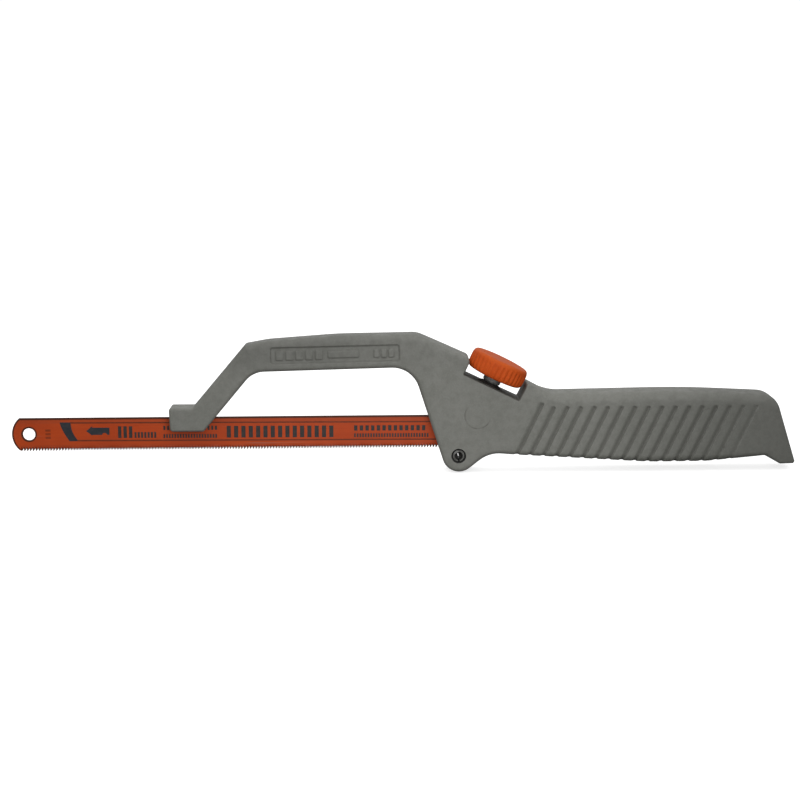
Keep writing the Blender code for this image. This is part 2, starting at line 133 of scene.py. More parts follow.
# Label panel on the arch: middle, half sizes, slope, and its raised marks (start, end, half height).
PANEL_CENTRE = (-26.0 * MM, 44.15 * MM)
PANEL_HALF = (23.6 * MM, 3.05 * MM)
PANEL_SLOPE = math.atan2(0.9, 47.0)
PANEL_CORNER = 0.9 * MM
PANEL_DEPTH = 0.38 * MM
PANEL_MARK_RISE = 0.3 * MM
PANEL_MARKS = (
    (-21.6, -19.0, 1.7), (-18.0, -15.4, 1.7), (-14.4, -11.8, 1.7), (-10.8, -8.2, 1.7), (-7.2, -4.6, 1.7),
    (-2.6, 8.6, 1.25),
    (14.2, 16.1, 1.5), (16.9, 18.8, 1.5), (19.6, 21.5, 1.5),
)

MARK_X = 26.3 * MM              # faint round mark of an ejector pin
MARK_Z = 21.2 * MM
MARK_RADIUS = 4.9 * MM

# Notch of the screw: the box round it, and where its floor ends and its rear wall begins.
NOTCH_X = (20.5 * MM, 44.0 * MM)
NOTCH_Z = (26.0 * MM, 38.0 * MM)
NOTCH_WALL_X = 41.3 * MM
NOTCH_WALL_SHARE = 0.65

GAP = 0.3 * MM
PRESS_GAP = 0.15 * MM
SLOT_HALF_WIDTH = 0.625 * MM
HOLLOW_HALF_WIDTH = 3.0 * MM
BUSH_FIT_RADIUS = 4.0 * MM + PRESS_GAP
GRIP_HOLLOW_HALF_WIDTH = 3.6 * MM
GRIP_HOLLOW_REACH = (47.0 * MM, 131.0 * MM)
GRIP_HOLLOW_TOP = 25.0 * MM
FOOT_SLOT_X = (-90.0 * MM, -66.0 * MM)
FOOT_SLOT_Z = 10.0 * MM
BODY_SLOT_X = -2.0 * MM         # front end of the slot in the body
LOBE_REAR_X = 23.0 * MM
BELOW_FRAME_Z = -4.0 * MM

BLADE_TIP_X = -144.8 * MM
BLADE_LENGTH = 262.4 * MM
BLADE_END_X = BLADE_TIP_X + BLADE_LENGTH
HOLE_INSET = 6.2 * MM
HOLE_RADIUS = 2.25 * MM
BLADE_TOOTH_Z = 8.6 * MM
BLADE_BACK_Z = 20.6 * MM
BLADE_HALF = 0.325 * MM
BLADE_MIDDLE_Z = (BLADE_TOOTH_Z + BLADE_BACK_Z) / 2
BLADE_END_RADIUS = 8.0 * MM
BLADE_END_STEPS = 32            # facets across a rounded end
TOOTH_PITCH = 25.4 * MM / 24
TOOTH_DEPTH = 0.68 * MM         # of the gullets, above the nominal edge
TOOTH_TIP_Z = BLADE_TOOTH_Z - 0.26 * MM
# One tooth from tip to tip: share of the pitch, share of the height from tip to gullet.
TOOTH_SHAPE = (
    (0.0, 0.0), (0.12, 0.0), (0.38, 0.26), (0.58, 0.62),
    (0.7, 0.9), (0.8, 1.0), (0.9, 0.9), (0.97, 0.4),
)
STRIP_TOP_Z = 10.3 * MM
STRIP_INSET = 3.2 * MM
SET_PERIOD = 8 * TOOTH_PITCH
SET_REACH = 0.16 * MM           # sideways wave of the tooth line

STAMP_X = -131.7 * MM           # small blocks pressed into the blade beside its hole
STAMP_Z = 14.6 * MM
STAMP_STEP = 1.35 * MM
PRINT_THICKNESS = 0.012 * MM
PRINT_LINES = (11.78, 18.42)    # heights of the two border lines, in mm
PRINT_STARTS = (-120.8, -123.3)  # where each of them starts along the blade, in mm
PRINT_END = 101.0
PRINT_LINE_HALF = 0.25
PRINT_PIVOT = (-56.0, 15.1)     # the whole print is turned a little about this point
PRINT_TURN = math.radians(-0.27)
# Cutting direction arrow: its head and shaft, then the rounded foot of the shaft, in mm.
ARROW_HEAD = ((-117.8, 15.3), (-115.6, 17.2), (-115.6, 16.65), (-109.3, 16.6), (-109.3, 13.9))
ARROW_FOOT = (-111.1, 13.9)
ARROW_FOOT_HALF = (0.9, 0.75)
ARROW_TAIL = ((-115.6, 13.9), (-115.6, 13.65))
# Plain bars in place of words: first x, last x, lowest z, highest z, bar width, gap; in mm.
PRINT_BARS = (
    (-106.2, -100.8, 12.7, 17.1, 1.25, 0.75),
    (-100.2, -92.0, 12.7, 14.9, 0.75, 0.45),
    (-89.6, -69.6, 15.6, 17.2, 0.75, 0.6),
    (-89.6, -69.6, 12.6, 14.1, 0.62, 0.38),
    (-66.4, -25.8, 12.7, 17.1, 1.55, 1.15),
    (-19.4, 8.6, 15.1, 17.1, 1.25, 0.85),
    (-19.4, 8.6, 12.6, 14.1, 0.62, 0.38),
)

PIN_X = 19.2 * MM
PIN_Z = 6.1 * MM
PIN_RADIUS = 2.2 * MM
PIN_BORE_RADIUS = 1.5 * MM
PIN_HALF_LENGTH = 5.9 * MM
PIN_WAIST = 3.0 * MM            # the rolled wall narrows the bore this near to the middle
PIN_WAIST_RADIUS = 0.5 * MM
PIN_BEVEL = (0.35 * MM, 0.22 * MM)  # along the pin and across it
PIN_WAIST_SLOPE = 0.3 * MM
PIN_SPLIT = math.radians(24.0)
COUNTERSINK_RADIUS = 2.75 * MM

SCREW_FOOT = Vector((31.0 * MM, 0.0, 31.85 * MM))
SCREW_TILT = math.atan2(36.56 - 26.84, 41.44 - 21.16)
SCREW_PLACE = Matrix.Translation(SCREW_FOOT) @ Matrix.Rotation(SCREW_TILT, 4, "Y")
SCREW_RADIUS = 2.5 * MM
SCREW_TIP_RADIUS = 1.7 * MM
TIP_BEVEL = 0.3 * MM
THREAD_PITCH = 0.8 * MM
THREAD_DEPTH = 0.43 * MM
THREAD_STEP = 0.1 * MM          # facet height along the thread
COLLAR_RADIUS = 3.4 * MM        # plain collar between the thread and the head
COLLAR_BOTTOM = 1.2 * MM
COLLAR_BEVEL = 0.2 * MM
HEAD_FLAT_RADIUS = 4.0 * MM

# Heights along the screw axis, from the notch floor.
BUSH_BOTTOM = -6.0 * MM
PAD_TOP = -8.9 * MM
SCREW_SHOULDER = PAD_TOP + GAP
SCREW_TIP = PAD_TOP - 1.2 * MM
PAD_HOLLOW_BOTTOM = -18.0 * MM
KNOB_BOTTOM = 3.35 * MM
HEAD_BOTTOM = 3.65 * MM
HEAD_TOP = 7.4 * MM
# Flanged bush: radius and height of its section, round to the first point again, in mm.
BUSH_SECTION = (
    (3.05, 0.9), (3.3, 0.84), (4.7, 0.3), (5.0, 0.16), (5.0, 0.05), (4.0, 0.05),
    (4.0, -5.7), (3.7, -6.0), (2.9, -6.0), (2.75, -5.8), (2.75, 0.7), (2.9, 0.9), (3.05, 0.9),
)
PAD_HALF_LENGTH = 4.0 * MM
PAD_HALF_WIDTH = 2.6 * MM
PAD_GRIP_DEPTH = 1.2 * MM

KNOB_RIBS = 36
RIB_TURN = math.radians(-2.8)   # turns a valley towards the front
RIB_DEPTH = 0.32 * MM
RIB_STEPS = 12
# Knob surface from the inside of its skirt, round its side, to the middle of its top:
# height over its bottom, radius, share of the rib depth; in mm.
KNOB_PROFILE = (
    (0.0, 4.9, 0.0), (0.0, 9.2, 0.0), (0.04, 9.65, 0.0), (0.16, 10.0, 0.1), (0.42, 10.4, 0.4),
    (0.8, 10.68, 0.8), (1.3, 10.86, 1.0), (2.0, 10.97, 1.0), (2.8, 11.0, 1.0), (3.6, 11.0, 1.0),
    (4.4, 11.0, 1.0), (4.95, 10.98, 0.85), (5.4, 10.94, 0.55), (5.8, 10.87, 0.25), (6.2, 10.76, 0.06),
    (6.55, 10.58, 0.0), (6.82, 10.35, 0.0), (7.02, 10.02, 0.0), (7.14, 9.6, 0.0), (7.2, 9.1, 0.0),
    (7.22, 8.2, 0.0), (7.22, 6.4, 0.0), (7.18, 4.4, 0.0), (7.14, 2.4, 0.0), (7.12, 0.8, 0.0),
)

CAMERA_TARGET = Vector((31.1 * MM, 0.0, 26.0 * MM))
CAMERA_DISTANCE = 702.5 * MM
CAMERA_AZIMUTH = math.radians(3.3)
CAMERA_ELEVATION = math.radians(9.3)
CAMERA_ROLL = math.radians(0.08)
CAMERA_SHIFT = -0.1124          # the saw sits left of the lens axis
HORIZON_LIGHT = 0.42            # brightness of the studio round the saw, and overhead
ZENITH_LIGHT = 1.12
# Soft boxes: name, place, what they point at, size in metres, and power in watts.
SOFT_BOXES = (
    ("top_softbox", (-0.05, -0.1, 0.75), (0.0, 0.0, 0.02), (0.7, 0.5), 0.24),
    ("front_softbox", (0.02, -0.3, 0.08), (0.0, 0.0, 0.03), (0.2, 0.2), 0.59),
    ("rear_softbox", (-0.02, 0.3, 0.27), (0.0, 0.0, 0.02), (0.5, 0.3), 0.15),
)
FLOOR_RADIUS = 6.0
FLOOR_GAP = 0.5 * MM            # keeps the floor clear of the saw's lowest point


# Mesh helpers ---------------------------------------------------------------------------

def add_piece(name, builder, sharp_degrees=35.0):
    """Links a mesh as an object with smooth shading and sharp edges by angle."""
    bmesh.ops.remove_doubles(builder, verts=builder.verts, dist=1e-7)
    bmesh.ops.recalc_face_normals(builder, faces=builder.faces)
    mesh = bpy.data.meshes.new(name)
    builder.to_mesh(mesh)
    builder.free()
    mesh.shade_smooth()
    mesh.set_sharp_from_angle(angle=math.radians(sharp_degrees))
    piece = bpy.data.objects.new(name, mesh)
    bpy.context.scene.collection.objects.link(piece)
    return piece


def boolean(target, cutter, operation="DIFFERENCE", sharp_degrees=35.0):
    """Applies a boolean to the target's mesh and removes the cutter."""
    modifier = target.modifiers.new("boolean", "BOOLEAN")
    modifier.operation = operation
    modifier.solver = "EXACT"
    modifier.object = cutter
    depsgraph = bpy.context.evaluated_depsgraph_get()
    mesh = bpy.data.meshes.new_from_object(target.evaluated_get(depsgraph))
    mesh.name = target.name
    target.modifiers.remove(modifier)
    target.data = mesh
    mesh.shade_smooth()
    mesh.set_sharp_from_angle(angle=math.radians(sharp_degrees))
    bpy.data.objects.remove(cutter, do_unlink=True)


def join_rings(builder, rings, closed=True):
    for upper, lower in zip(rings, rings[1:]):
        count = len(upper)
        for i in range(count if closed else count - 1):
            j = (i + 1) % count
            builder.faces.new((upper[i], upper[j], lower[j], lower[i]))


def close_rings(builder, rings):
    """Walls between the rings and a face over each end."""
    join_rings(builder, rings)
    builder.faces.new(rings[0])
    builder.faces.new(rings[-1])


def level_ring(builder, radius, height, steps):
    """Vertices of a level circle about +Z."""
    angles = [2 * math.pi * i / steps for i in range(steps)]
    return [builder.verts.new((radius * math.cos(a), radius * math.sin(a), height)) for a in angles]


def dress(piece, body, node, slot, *materials):
    """Hangs a piece under the empty of its body, hides the CAD node it stands in for, and paints it."""
    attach(piece, body)
    if node:
        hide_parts(node)
    for material in materials:
        piece.data.materials.append(material)


def side_prism(points_xz, half_width, bevel=0.0):
    """A prism across y from an outline in the side view, with its end edges bevelled if asked."""
    builder = bmesh.new()
    stations = [(-half_width, False), (half_width, False)]
    if bevel:
        inner = half_width - bevel
        stations = [(-half_width, True), (-inner, False), (inner, False), (half_width, True)]
    centre = sum((Vector(p) for p in points_xz), Vector((0, 0))) / len(points_xz)
    rings = []
    for y, shrunk in stations:
        ring = []
        for x, z in points_xz:
            point = Vector((x, z))
            if shrunk:
                point -= (point - centre).normalized() * bevel
            ring.append(builder.verts.new((point.x, y, point.y)))
        rings.append(ring)
    close_rings(builder, rings)
    return builder


def box_outline(x_low, x_high, z_low, z_high):
    return [(x_low, z_low), (x_high, z_low), (x_high, z_high), (x_low, z_high)]


def turned(profile, steps=64):
    """A solid of revolution about +Z from its (radius, height) profile."""
    builder = bmesh.new()
    close_rings(builder, [level_ring(builder, radius, height, steps) for radius, height in profile])
    return builder


def across_at(x, z):
    """Places a turned shape at a point of the side view, with its axis across the saw."""
    return Matrix.Translation((x, 0.0, z)) @ Matrix.Rotation(math.pi / 2, 4, "X")


def smoothstep(low, high, value):
    share = max(0.0, min(1.0, (value - low) / (high - low)))
    return share * share * (3 - 2 * share)


def on_screw_plane(across, along):
    point = SCREW_PLACE @ Vector((across, 0.0, along))
    return point.x, point.z


# Outline of the casting ------------------------------------------------------------------

def corner_directions(corners, i):
    here = corners[i]
    before = corners[i - 1]
    after = corners[(i + 1) % len(corners)]
    return (here - before).normalized(), (after - here).normalized()


def corner_turn(corners, i):
    arriving, leaving = corner_directions(corners, i)
    return math.acos(max(-1.0, min(1.0, arriving.dot(leaving))))


def inset_corner(corners, i, distance):
    """Moves a corner of a clockwise outline inwards, square to both of its sides."""
    arriving, leaving = corner_directions(corners, i)
    inward_1 = Vector((arriving.y, -arriving.x))
    inward_2 = Vector((leaving.y, -leaving.x))
    return corners[i] + (inward_1 + inward_2) * (distance / (1 + inward_1.dot(inward_2)))


def fillet(corners, i, radius, steps):
    """Points along the arc that rounds corner i."""
    arriving, leaving = corner_directions(corners, i)
    turn = corner_turn(corners, i)
    side = 1 if arriving.x * leaving.y - arriving.y * leaving.x > 0 else -1
    start = corners[i] - arriving * radius * math.tan(turn / 2)
    centre = start + Vector((-arriving.y, arriving.x)) * side * radius
    spoke = start - centre
    return [centre + Matrix.Rotation(side * turn * step / steps, 2) @ spoke for step in range(steps + 1)]


def outline_spacing(x, z):
    fluted = FLUTED_EDGE_X[0] < x < FLUTED_EDGE_X[1] and z < FLUTED_EDGE_Z
    return FLUTED_STEP if fluted else OUTLINE_STEP


def arc_steps(corner, radius, turn):
    by_tolerance = turn / (2 * math.acos(1 - min(ARC_TOLERANCE / radius, 0.01)))
    by_length = radius * turn / outline_spacing(corner.x, corner.y)
    return max(2, math.ceil(max(by_tolerance, by_length)))


def outline_arcs(inset_share):
    """The rounded corners of the frame outline, moved in, and the same corners where they were."""
    corners = [Vector((x * MM, z * MM)) for x, z, _, _ in FRAME_OUTLINE]
    insets = [inset_share * rounding * MM for _, _, _, rounding in FRAME_OUTLINE]
    moved = [inset_corner(corners, i, inset) for i, inset in enumerate(insets)]
    arcs = []
    plain_arcs = []
    for i, (_, _, radius_mm, _) in enumerate(FRAME_OUTLINE):
        arriving, leaving = corner_directions(corners, i)
        convex = arriving.x * leaving.y - arriving.y * leaving.x < 0
        steps = arc_steps(corners[i], radius_mm * MM, corner_turn(corners, i))
        radius = max(0.05 * MM, radius_mm * MM + (-insets[i] if convex else insets[i]))
        arcs.append(fillet(moved, i, radius, steps))
        plain_arcs.append(fillet(corners, i, radius_mm * MM, steps))
    return arcs, plain_arcs


def outline_ring(inset_share):
    """The frame outline moved in by a share of each corner's edge rounding.

    Returns points (x, z) and the edge rounding at each; every ring has the same count."""
    arcs, plain_arcs = outline_arcs(inset_share)
    points = []
    roundings = []
    for i, arc in enumerate(arcs):
        j = (i + 1) % len(arcs)
        points.extend(arc)
        roundings.extend([FRAME_OUTLINE[i][3] * MM] * len(arc))
        plain_start = plain_arcs[i][-1]
        plain_end = plain_arcs[j][0]
        middle = (plain_start + plain_end) / 2
        spacing = outline_spacing(middle.x, middle.y)
        count = max(1, math.ceil((plain_end - plain_start).length / spacing))
        for step in range(1, count):
            share = step / count
            points.append(arc[-1].lerp(arcs[j][0], share))
            roundings.append((FRAME_OUTLINE[i][3] * (1 - share) + FRAME_OUTLINE[j][3] * share) * MM)
    return points, roundings


def outward_normals(points):
    """Outward directions in the side view along a clockwise ring."""
    count = len(points)
    normals = []
    for i in range(count):
        along = (points[(i + 1) % count] - points[i - 1]).normalized()
        normals.append(Vector((-along.y, along.x)))
    return normals


def half_thickness(x):
    stations = [(sx * MM, half * MM) for sx, half in FRAME_HALF_THICKNESS]
    for (x_low, half_low), (x_high, half_high) in zip(stations, stations[1:]):
        if x <= x_high:
            return half_low + smoothstep(x_low, x_high, x) * (half_high - half_low)
    return stations[-1][1]


# Relief of the cheeks --------------------------------------------------------------------

def flute_share(x, z):
    """How deep the surface lies in a flute, from 0 on a land to 1 at the bottom."""
    lean = math.tan(FLUTE_LEAN)
    level_x = x - (z - FLUTE_LEVEL_Z) * lean
    index = round((level_x - FLUTE_FIRST_X) / FLUTE_PITCH)
    if index < 0 or index >= FLUTE_COUNT:
        return 0.0
    axis_x = FLUTE_FIRST_X + index * FLUTE_PITCH
    offset = Vector((x - axis_x, z - FLUTE_LEVEL_Z))
    direction = Vector((math.sin(FLUTE_LEAN), math.cos(FLUTE_LEAN)))
    across = offset.x * direction.y - offset.y * direction.x
    cap_z = FLUTE_CAP_Z + (FIRST_CAP_RISE if index == 0 else 0.0)
    beyond = max(0.0, offset.dot(direction) - (cap_z - FLUTE_LEVEL_Z) / math.cos(FLUTE_LEAN))
    reach = FLUTE_SLOPE if across < 0 else FLUTE_WALL
    distance = math.hypot(across / reach, beyond / FLUTE_CAP_LENGTH)
    if distance >= 1:
        return 0.0
    fading = max(0, index - (FLUTE_COUNT - 1 - LAST_FADING_FLUTES)) / LAST_FADING_FLUTES
    return (1 - 0.55 * fading) * (1 - distance ** 2) ** 1.2


def rounded_box_distance(x, z, half_x, half_z, corner):
    """Signed distance to a rounded rectangle about the origin, negative inside."""
    outside_x = abs(x) - half_x + corner
    outside_z = abs(z) - half_z + corner
    inside = min(max(outside_x, outside_z), 0.0)
    return math.hypot(max(outside_x, 0.0), max(outside_z, 0.0)) + inside - corner


def in_notch(x, z):
    """1 on the floor of the screw's notch, less on its rear wall and 0 elsewhere."""
    if not (NOTCH_X[0] < x < NOTCH_X[1] and NOTCH_Z[0] < z < NOTCH_Z[1]):
        return 0.0
    return 1.0 if x < NOTCH_WALL_X else NOTCH_WALL_SHARE


def panel_coordinates(x, z):
    dx = x - PANEL_CENTRE[0]
    dz = z - PANEL_CENTRE[1]
    cosine = math.cos(PANEL_SLOPE)
    sine = math.sin(PANEL_SLOPE)
    return dx * cosine + dz * sine, dz * cosine - dx * sine


def panel_relief(x, z):
    """Depth of the sunk label panel, less the marks that stand in it, and the shade painted along its
    edges and round the marks.
    """
    u, v = panel_coordinates(x, z)
    edge = rounded_box_distance(u, v, *PANEL_HALF, PANEL_CORNER)
    if edge > 0.5 * MM:
        return 0.0, 0.0
    depth = PANEL_DEPTH * (1 - smoothstep(-0.25 * MM, 0.2 * MM, edge))
    # Painted shade just inside the panel's edge; the loop adds it round the foot of each mark.
    painted_shade = math.exp(-((edge + 0.2 * MM) / (0.28 * MM)) ** 2)
    for start, end, half in PANEL_MARKS:
        middle = (start + end) / 2 * MM
        distance = rounded_box_distance(u - middle, v, (end - start) / 2 * MM, half * MM, 0.5 * MM)
        depth -= PANEL_MARK_RISE * (1 - smoothstep(-0.2 * MM, 0.25 * MM, distance))
        painted_shade = max(painted_shade, 0.55 * math.exp(-((distance - 0.2 * MM) / (0.25 * MM)) ** 2))
    return depth, 0.8 * painted_shade


# Casting ---------------------------------------------------------------------------------

def grid_points(x_low, x_high, z_low, z_high, step_x, step_z, angle=0.0):
    """A grid of points in a box, turned about the box's middle."""
    middle = Vector(((x_low + x_high) / 2, (z_low + z_high) / 2))
    turn = Matrix.Rotation(angle, 2)
    points = []
    for i in range(int((x_high - x_low) / step_x) + 1):
        for j in range(int((z_high - z_low) / step_z) + 1):
            offset = Vector((x_low + i * step_x, z_low + j * step_z + (step_z / 2) * (i % 2))) - middle
            points.append(middle + turn @ offset)
    return points


def flute_points():
    """Points in rows along every flute, closer together across it and at its round top."""
    direction = Vector((math.sin(FLUTE_LEAN), math.cos(FLUTE_LEAN)))
    sideways = Vector((direction.y, -direction.x))
    points = []
    for index in range(FLUTE_COUNT):
        origin = Vector((FLUTE_FIRST_X + index * FLUTE_PITCH, FLUTE_LEVEL_Z))
        along = FLUTE_ROW_REACH[0]
        while along < FLUTE_ROW_REACH[1]:
            for across in FLUTE_ROWS:
                points.append(origin + direction * along * MM + sideways * across * MM)
            along += 0.28 if along > 7.2 else 0.7
    return points


def cheek_points(boundary):
    """Points for the flat part of a cheek, closer together where there is relief."""
    flutes = flute_points()
    u, v = PANEL_HALF
    panel = grid_points(
        PANEL_CENTRE[0] - u - PANEL_REACH, PANEL_CENTRE[0] + u + PANEL_REACH,
        PANEL_CENTRE[1] - v - PANEL_REACH, PANEL_CENTRE[1] + v + PANEL_REACH,
        PANEL_STEP, PANEL_STEP, PANEL_SLOPE,
    )
    plain = []
    for point in grid_points(*CHEEK_BOX, CHEEK_STEP, CHEEK_STEP):
        pu, pv = panel_coordinates(point.x, point.y)
        near_panel = rounded_box_distance(pu, pv, *PANEL_HALF, 0.0) < 1.5 * MM
        level_x = point.x - (point.y - FLUTE_LEVEL_Z) * math.tan(FLUTE_LEAN)
        fluted = FLUTE_FIRST_X - 2.5 * MM < level_x < FLUTE_FIRST_X + (FLUTE_COUNT - 0.5) * FLUTE_PITCH
        if not near_panel and not (fluted and point.y < 28 * MM):
            plain.append(point)
    candidates = np.array([(p.x, p.y) for p in flutes + panel + plain])
    return keep_inside(candidates, np.array([(p.x, p.y) for p in boundary]), CHEEK_MARGIN)


def keep_inside(points, loop, margin):
    """Points inside a closed loop and at least the margin away from it."""
    ends = np.roll(loop, -1, axis=0)
    inside = np.zeros(len(points), bool)
    nearest = np.full(len(points), 1e9)
    for start, end in zip(loop, ends):
        edge = end - start
        offset = points - start
        share = np.clip(offset @ edge / max(edge @ edge, 1e-18), 0, 1)
        nearest = np.minimum(nearest, np.hypot(*(offset - share[:, None] * edge).T))
        crosses = (start[1] > points[:, 1]) != (end[1] > points[:, 1])
        with np.errstate(divide="ignore", invalid="ignore"):
            crossing_x = start[0] + (points[:, 1] - start[1]) * edge[0] / edge[1]
        inside ^= crosses & (points[:, 0] < crossing_x)
    return points[inside & (nearest > margin)]


def outline_rings():
    """Rings round a cheek, from the side of the frame up over its rounded edge."""
    rings = []
    for step in range(EDGE_STEPS + 1):
        angle = math.pi / 2 * step / EDGE_STEPS
        points, roundings = outline_ring(1 - math.cos(angle))
        rings.append((angle, points, roundings, outward_normals(points)))
    return rings


def edge_ring_verts(builder, painted_shade, side, ring):
    """Vertices of one ring of the rounded edge, drawn in where the flutes run out over it."""
    angle, points, roundings, normals = ring
    verts = []
    for point, rounding, normal in zip(points, roundings, normals):
        share = flute_share(point.x, point.y)
        sunk = share * FLUTE_DEPTH * (0.45 + 0.55 * math.sin(angle))
        shaded = NOTCH_SHADE * in_notch(point.x, point.y) * math.cos(angle) ** 0.5
        half = half_thickness(point.x) - rounding * (1 - math.sin(angle))
        x = point.x - normal.x * sunk * math.cos(angle)
        z = point.y - normal.y * sunk * math.cos(angle)
        vert = builder.verts.new((x, side * (half - sunk * math.sin(angle)), z))
        # Painted shade: the deeper in a flute, the darker, and darker still in the notch.
        vert[painted_shade] = max(share ** 1.5, shaded)
        verts.append(vert)
    return verts


def cheek_vert(builder, painted_shade, side, point):
    """A vertex of the flat cheek, sunk by its flute and the label panel."""
    share = flute_share(point.x, point.y)
    panel, edge_shade = panel_relief(point.x, point.y)
    y = half_thickness(point.x) - share * FLUTE_DEPTH - panel
    vert = builder.verts.new((point.x, side * y, point.y))
    # Painted shade in the flutes and round the label panel.
    vert[painted_shade] = max(share ** 1.5, edge_shade)
    return vert


def casting_builder():
    """The casting without its slots and bores, with the flutes and the label panel shaped in.

    Its float layer holds the shade painted at each vertex: in the flutes, in the notch and round the label
    panel."""
    builder = bmesh.new()
    painted_shade = builder.verts.layers.float.new("painted_shade")
    rings = outline_rings()
    boundary = rings[-1][1]
    corners = list(boundary) + [Vector(p) for p in cheek_points(boundary)]
    loop = list(range(len(boundary)))
    vertices, _, faces, originals, _, _ = delaunay_2d_cdt(corners, [], [loop], 1, 1e-9)
    sides = []
    for side in (-1, 1):
        ring_verts = [edge_ring_verts(builder, painted_shade, side, ring) for ring in rings]
        join_rings(builder, ring_verts)
        cap = []
        for index, point in enumerate(vertices):
            source = originals[index][0]
            on_boundary = source < len(boundary)
            cap.append(ring_verts[-1][source] if on_boundary else cheek_vert(builder, painted_shade, side, point))
        for face in faces:
            builder.faces.new([cap[i] for i in face])
        sides.append(ring_verts[0])
    join_rings(builder, [sides[0], sides[1]])
    return builder


def screw_hollows():
    """The space for the pad and the bore for the bush, both along the screw."""
    reach = PAD_HALF_LENGTH + 2 * GAP
    pad_hollow = [
        on_screw_plane(-reach, PAD_HOLLOW_BOTTOM),
        on_screw_plane(reach, PAD_HOLLOW_BOTTOM),
        on_screw_plane(reach, BUSH_BOTTOM),
        on_screw_plane(-reach, BUSH_BOTTOM),
    ]
    bush_bore = turned([(BUSH_FIT_RADIUS, 3 * MM), (BUSH_FIT_RADIUS, BUSH_BOTTOM - MM)])
    bush_bore.transform(SCREW_PLACE)
    return side_prism(pad_hollow, HOLLOW_HALF_WIDTH - 0.02 * MM), bush_bore


def pin_hole():
    """The countersunk bore for the cross pin."""
    fit = PIN_RADIUS + 0.08 * MM
    cheek = half_thickness(PIN_X)
    sink = COUNTERSINK_RADIUS - fit
    outer = COUNTERSINK_RADIUS + MM
    bore = turned([(outer, cheek + MM), (fit, cheek - sink), (fit, sink - cheek), (outer, -cheek - MM)])
    bore.transform(across_at(PIN_X, PIN_Z))
    return bore


def casting_cutter():
    """All the slots, hollows and bores of the casting as one closed solid."""
    slot_top = BLADE_BACK_Z + GAP
    foot_slot = box_outline(*FOOT_SLOT_X, FOOT_SLOT_Z, slot_top)
    blade_slot = box_outline(BODY_SLOT_X, LOBE_REAR_X + MM, BELOW_FRAME_Z, slot_top)
    hollow = box_outline(LOBE_REAR_X, GRIP_HOLLOW_REACH[0] + MM, BELOW_FRAME_Z, slot_top)
    grip_hollow = box_outline(*GRIP_HOLLOW_REACH, BELOW_FRAME_Z, GRIP_HOLLOW_TOP)
    cutter = add_piece("cutter", side_prism(foot_slot, SLOT_HALF_WIDTH))
    tools = (
        side_prism(blade_slot, SLOT_HALF_WIDTH),
        side_prism(hollow, HOLLOW_HALF_WIDTH),
        side_prism(grip_hollow, GRIP_HOLLOW_HALF_WIDTH),
        *screw_hollows(),
        pin_hole(),
    )
    for tool in tools:
        boolean(cutter, add_piece("tool", tool), "UNION")
    return cutter


def build_casting():
    casting = add_piece("casting", casting_builder())
    boolean(casting, casting_cutter())
    dress(casting, "frame", "frame_casting", "cast_frame", cast_material())


# Blade -----------------------------------------------------------------------------------

def blade_outline():
    """Side outline of the blade's body: two rounded ends and a step for the tooth strip."""
    end_angle = math.asin((BLADE_BACK_Z - BLADE_MIDDLE_Z) / BLADE_END_RADIUS)
    outline = []
    for x_end, facing in ((BLADE_TIP_X, -1), (BLADE_END_X, 1)):
        centre_x = x_end - facing * BLADE_END_RADIUS
        for step in range(BLADE_END_STEPS + 1):
            angle = facing * end_angle * (1 - 2 * step / BLADE_END_STEPS)
            x = centre_x + facing * BLADE_END_RADIUS * math.cos(angle)
            outline.append((x, BLADE_MIDDLE_Z + BLADE_END_RADIUS * math.sin(angle)))
        if facing > 0:
            outline.append((x_end - STRIP_INSET, BLADE_TOOTH_Z))
            outline.append((x_end - STRIP_INSET, STRIP_TOP_Z))
            outline.append((BLADE_TIP_X + STRIP_INSET, STRIP_TOP_Z))
            outline.append((BLADE_TIP_X + STRIP_INSET, BLADE_TOOTH_Z))
    return outline


def build_blade_back():
    back = add_piece("blade_body", side_prism(blade_outline(), BLADE_HALF))
    for x in (BLADE_TIP_X + HOLE_INSET, BLADE_END_X - HOLE_INSET):
        hole = turned([(HOLE_RADIUS, MM), (HOLE_RADIUS, -MM)])
        hole.transform(across_at(x, BLADE_MIDDLE_Z))
        boolean(back, add_piece("hole", hole))
    dress(back, "blade", "blade_back", "blade_paint", blade_material())


def tooth_profile():
    """Lower edge of the strip as (x, z): upright fronts facing -X, round gullets, sloping backs."""
    start_x = BLADE_TIP_X + STRIP_INSET
    end_x = BLADE_END_X - STRIP_INSET
    gullet_z = BLADE_TOOTH_Z + TOOTH_DEPTH
    profile = []
    for tooth in range(int((end_x - start_x) / TOOTH_PITCH)):
        for along, up in TOOTH_SHAPE:
            x = start_x + (tooth + along) * TOOTH_PITCH
            profile.append((x, TOOTH_TIP_Z + up * (gullet_z - TOOTH_TIP_Z)))
    profile.append((end_x, gullet_z))
    return profile


def build_tooth_strip():
    """The strip with its real teeth, waved sideways as fine blades are set."""
    builder = bmesh.new()
    levels = (BLADE_TOOTH_Z + TOOTH_DEPTH + 0.05 * MM, 9.6 * MM, STRIP_TOP_Z)
    columns = []
    for x, z_edge in tooth_profile():
        wave = math.sin(2 * math.pi * (x - BLADE_TIP_X) / SET_PERIOD)
        heights = (z_edge,) + levels
        loop = []
        for side in (-1, 1):
            order = heights if side < 0 else tuple(reversed(heights))
            for z in order:
                share = smoothstep(STRIP_TOP_Z, BLADE_TOOTH_Z, z)
                y = side * BLADE_HALF + SET_REACH * wave * share
                loop.append(builder.verts.new((x, y, z)))
        columns.append(loop)
    close_rings(builder, columns)
    strip = add_piece("tooth_strip", builder)
    dress(strip, "blade", "blade_tooth_edge", "tooth_edge", tooth_material())


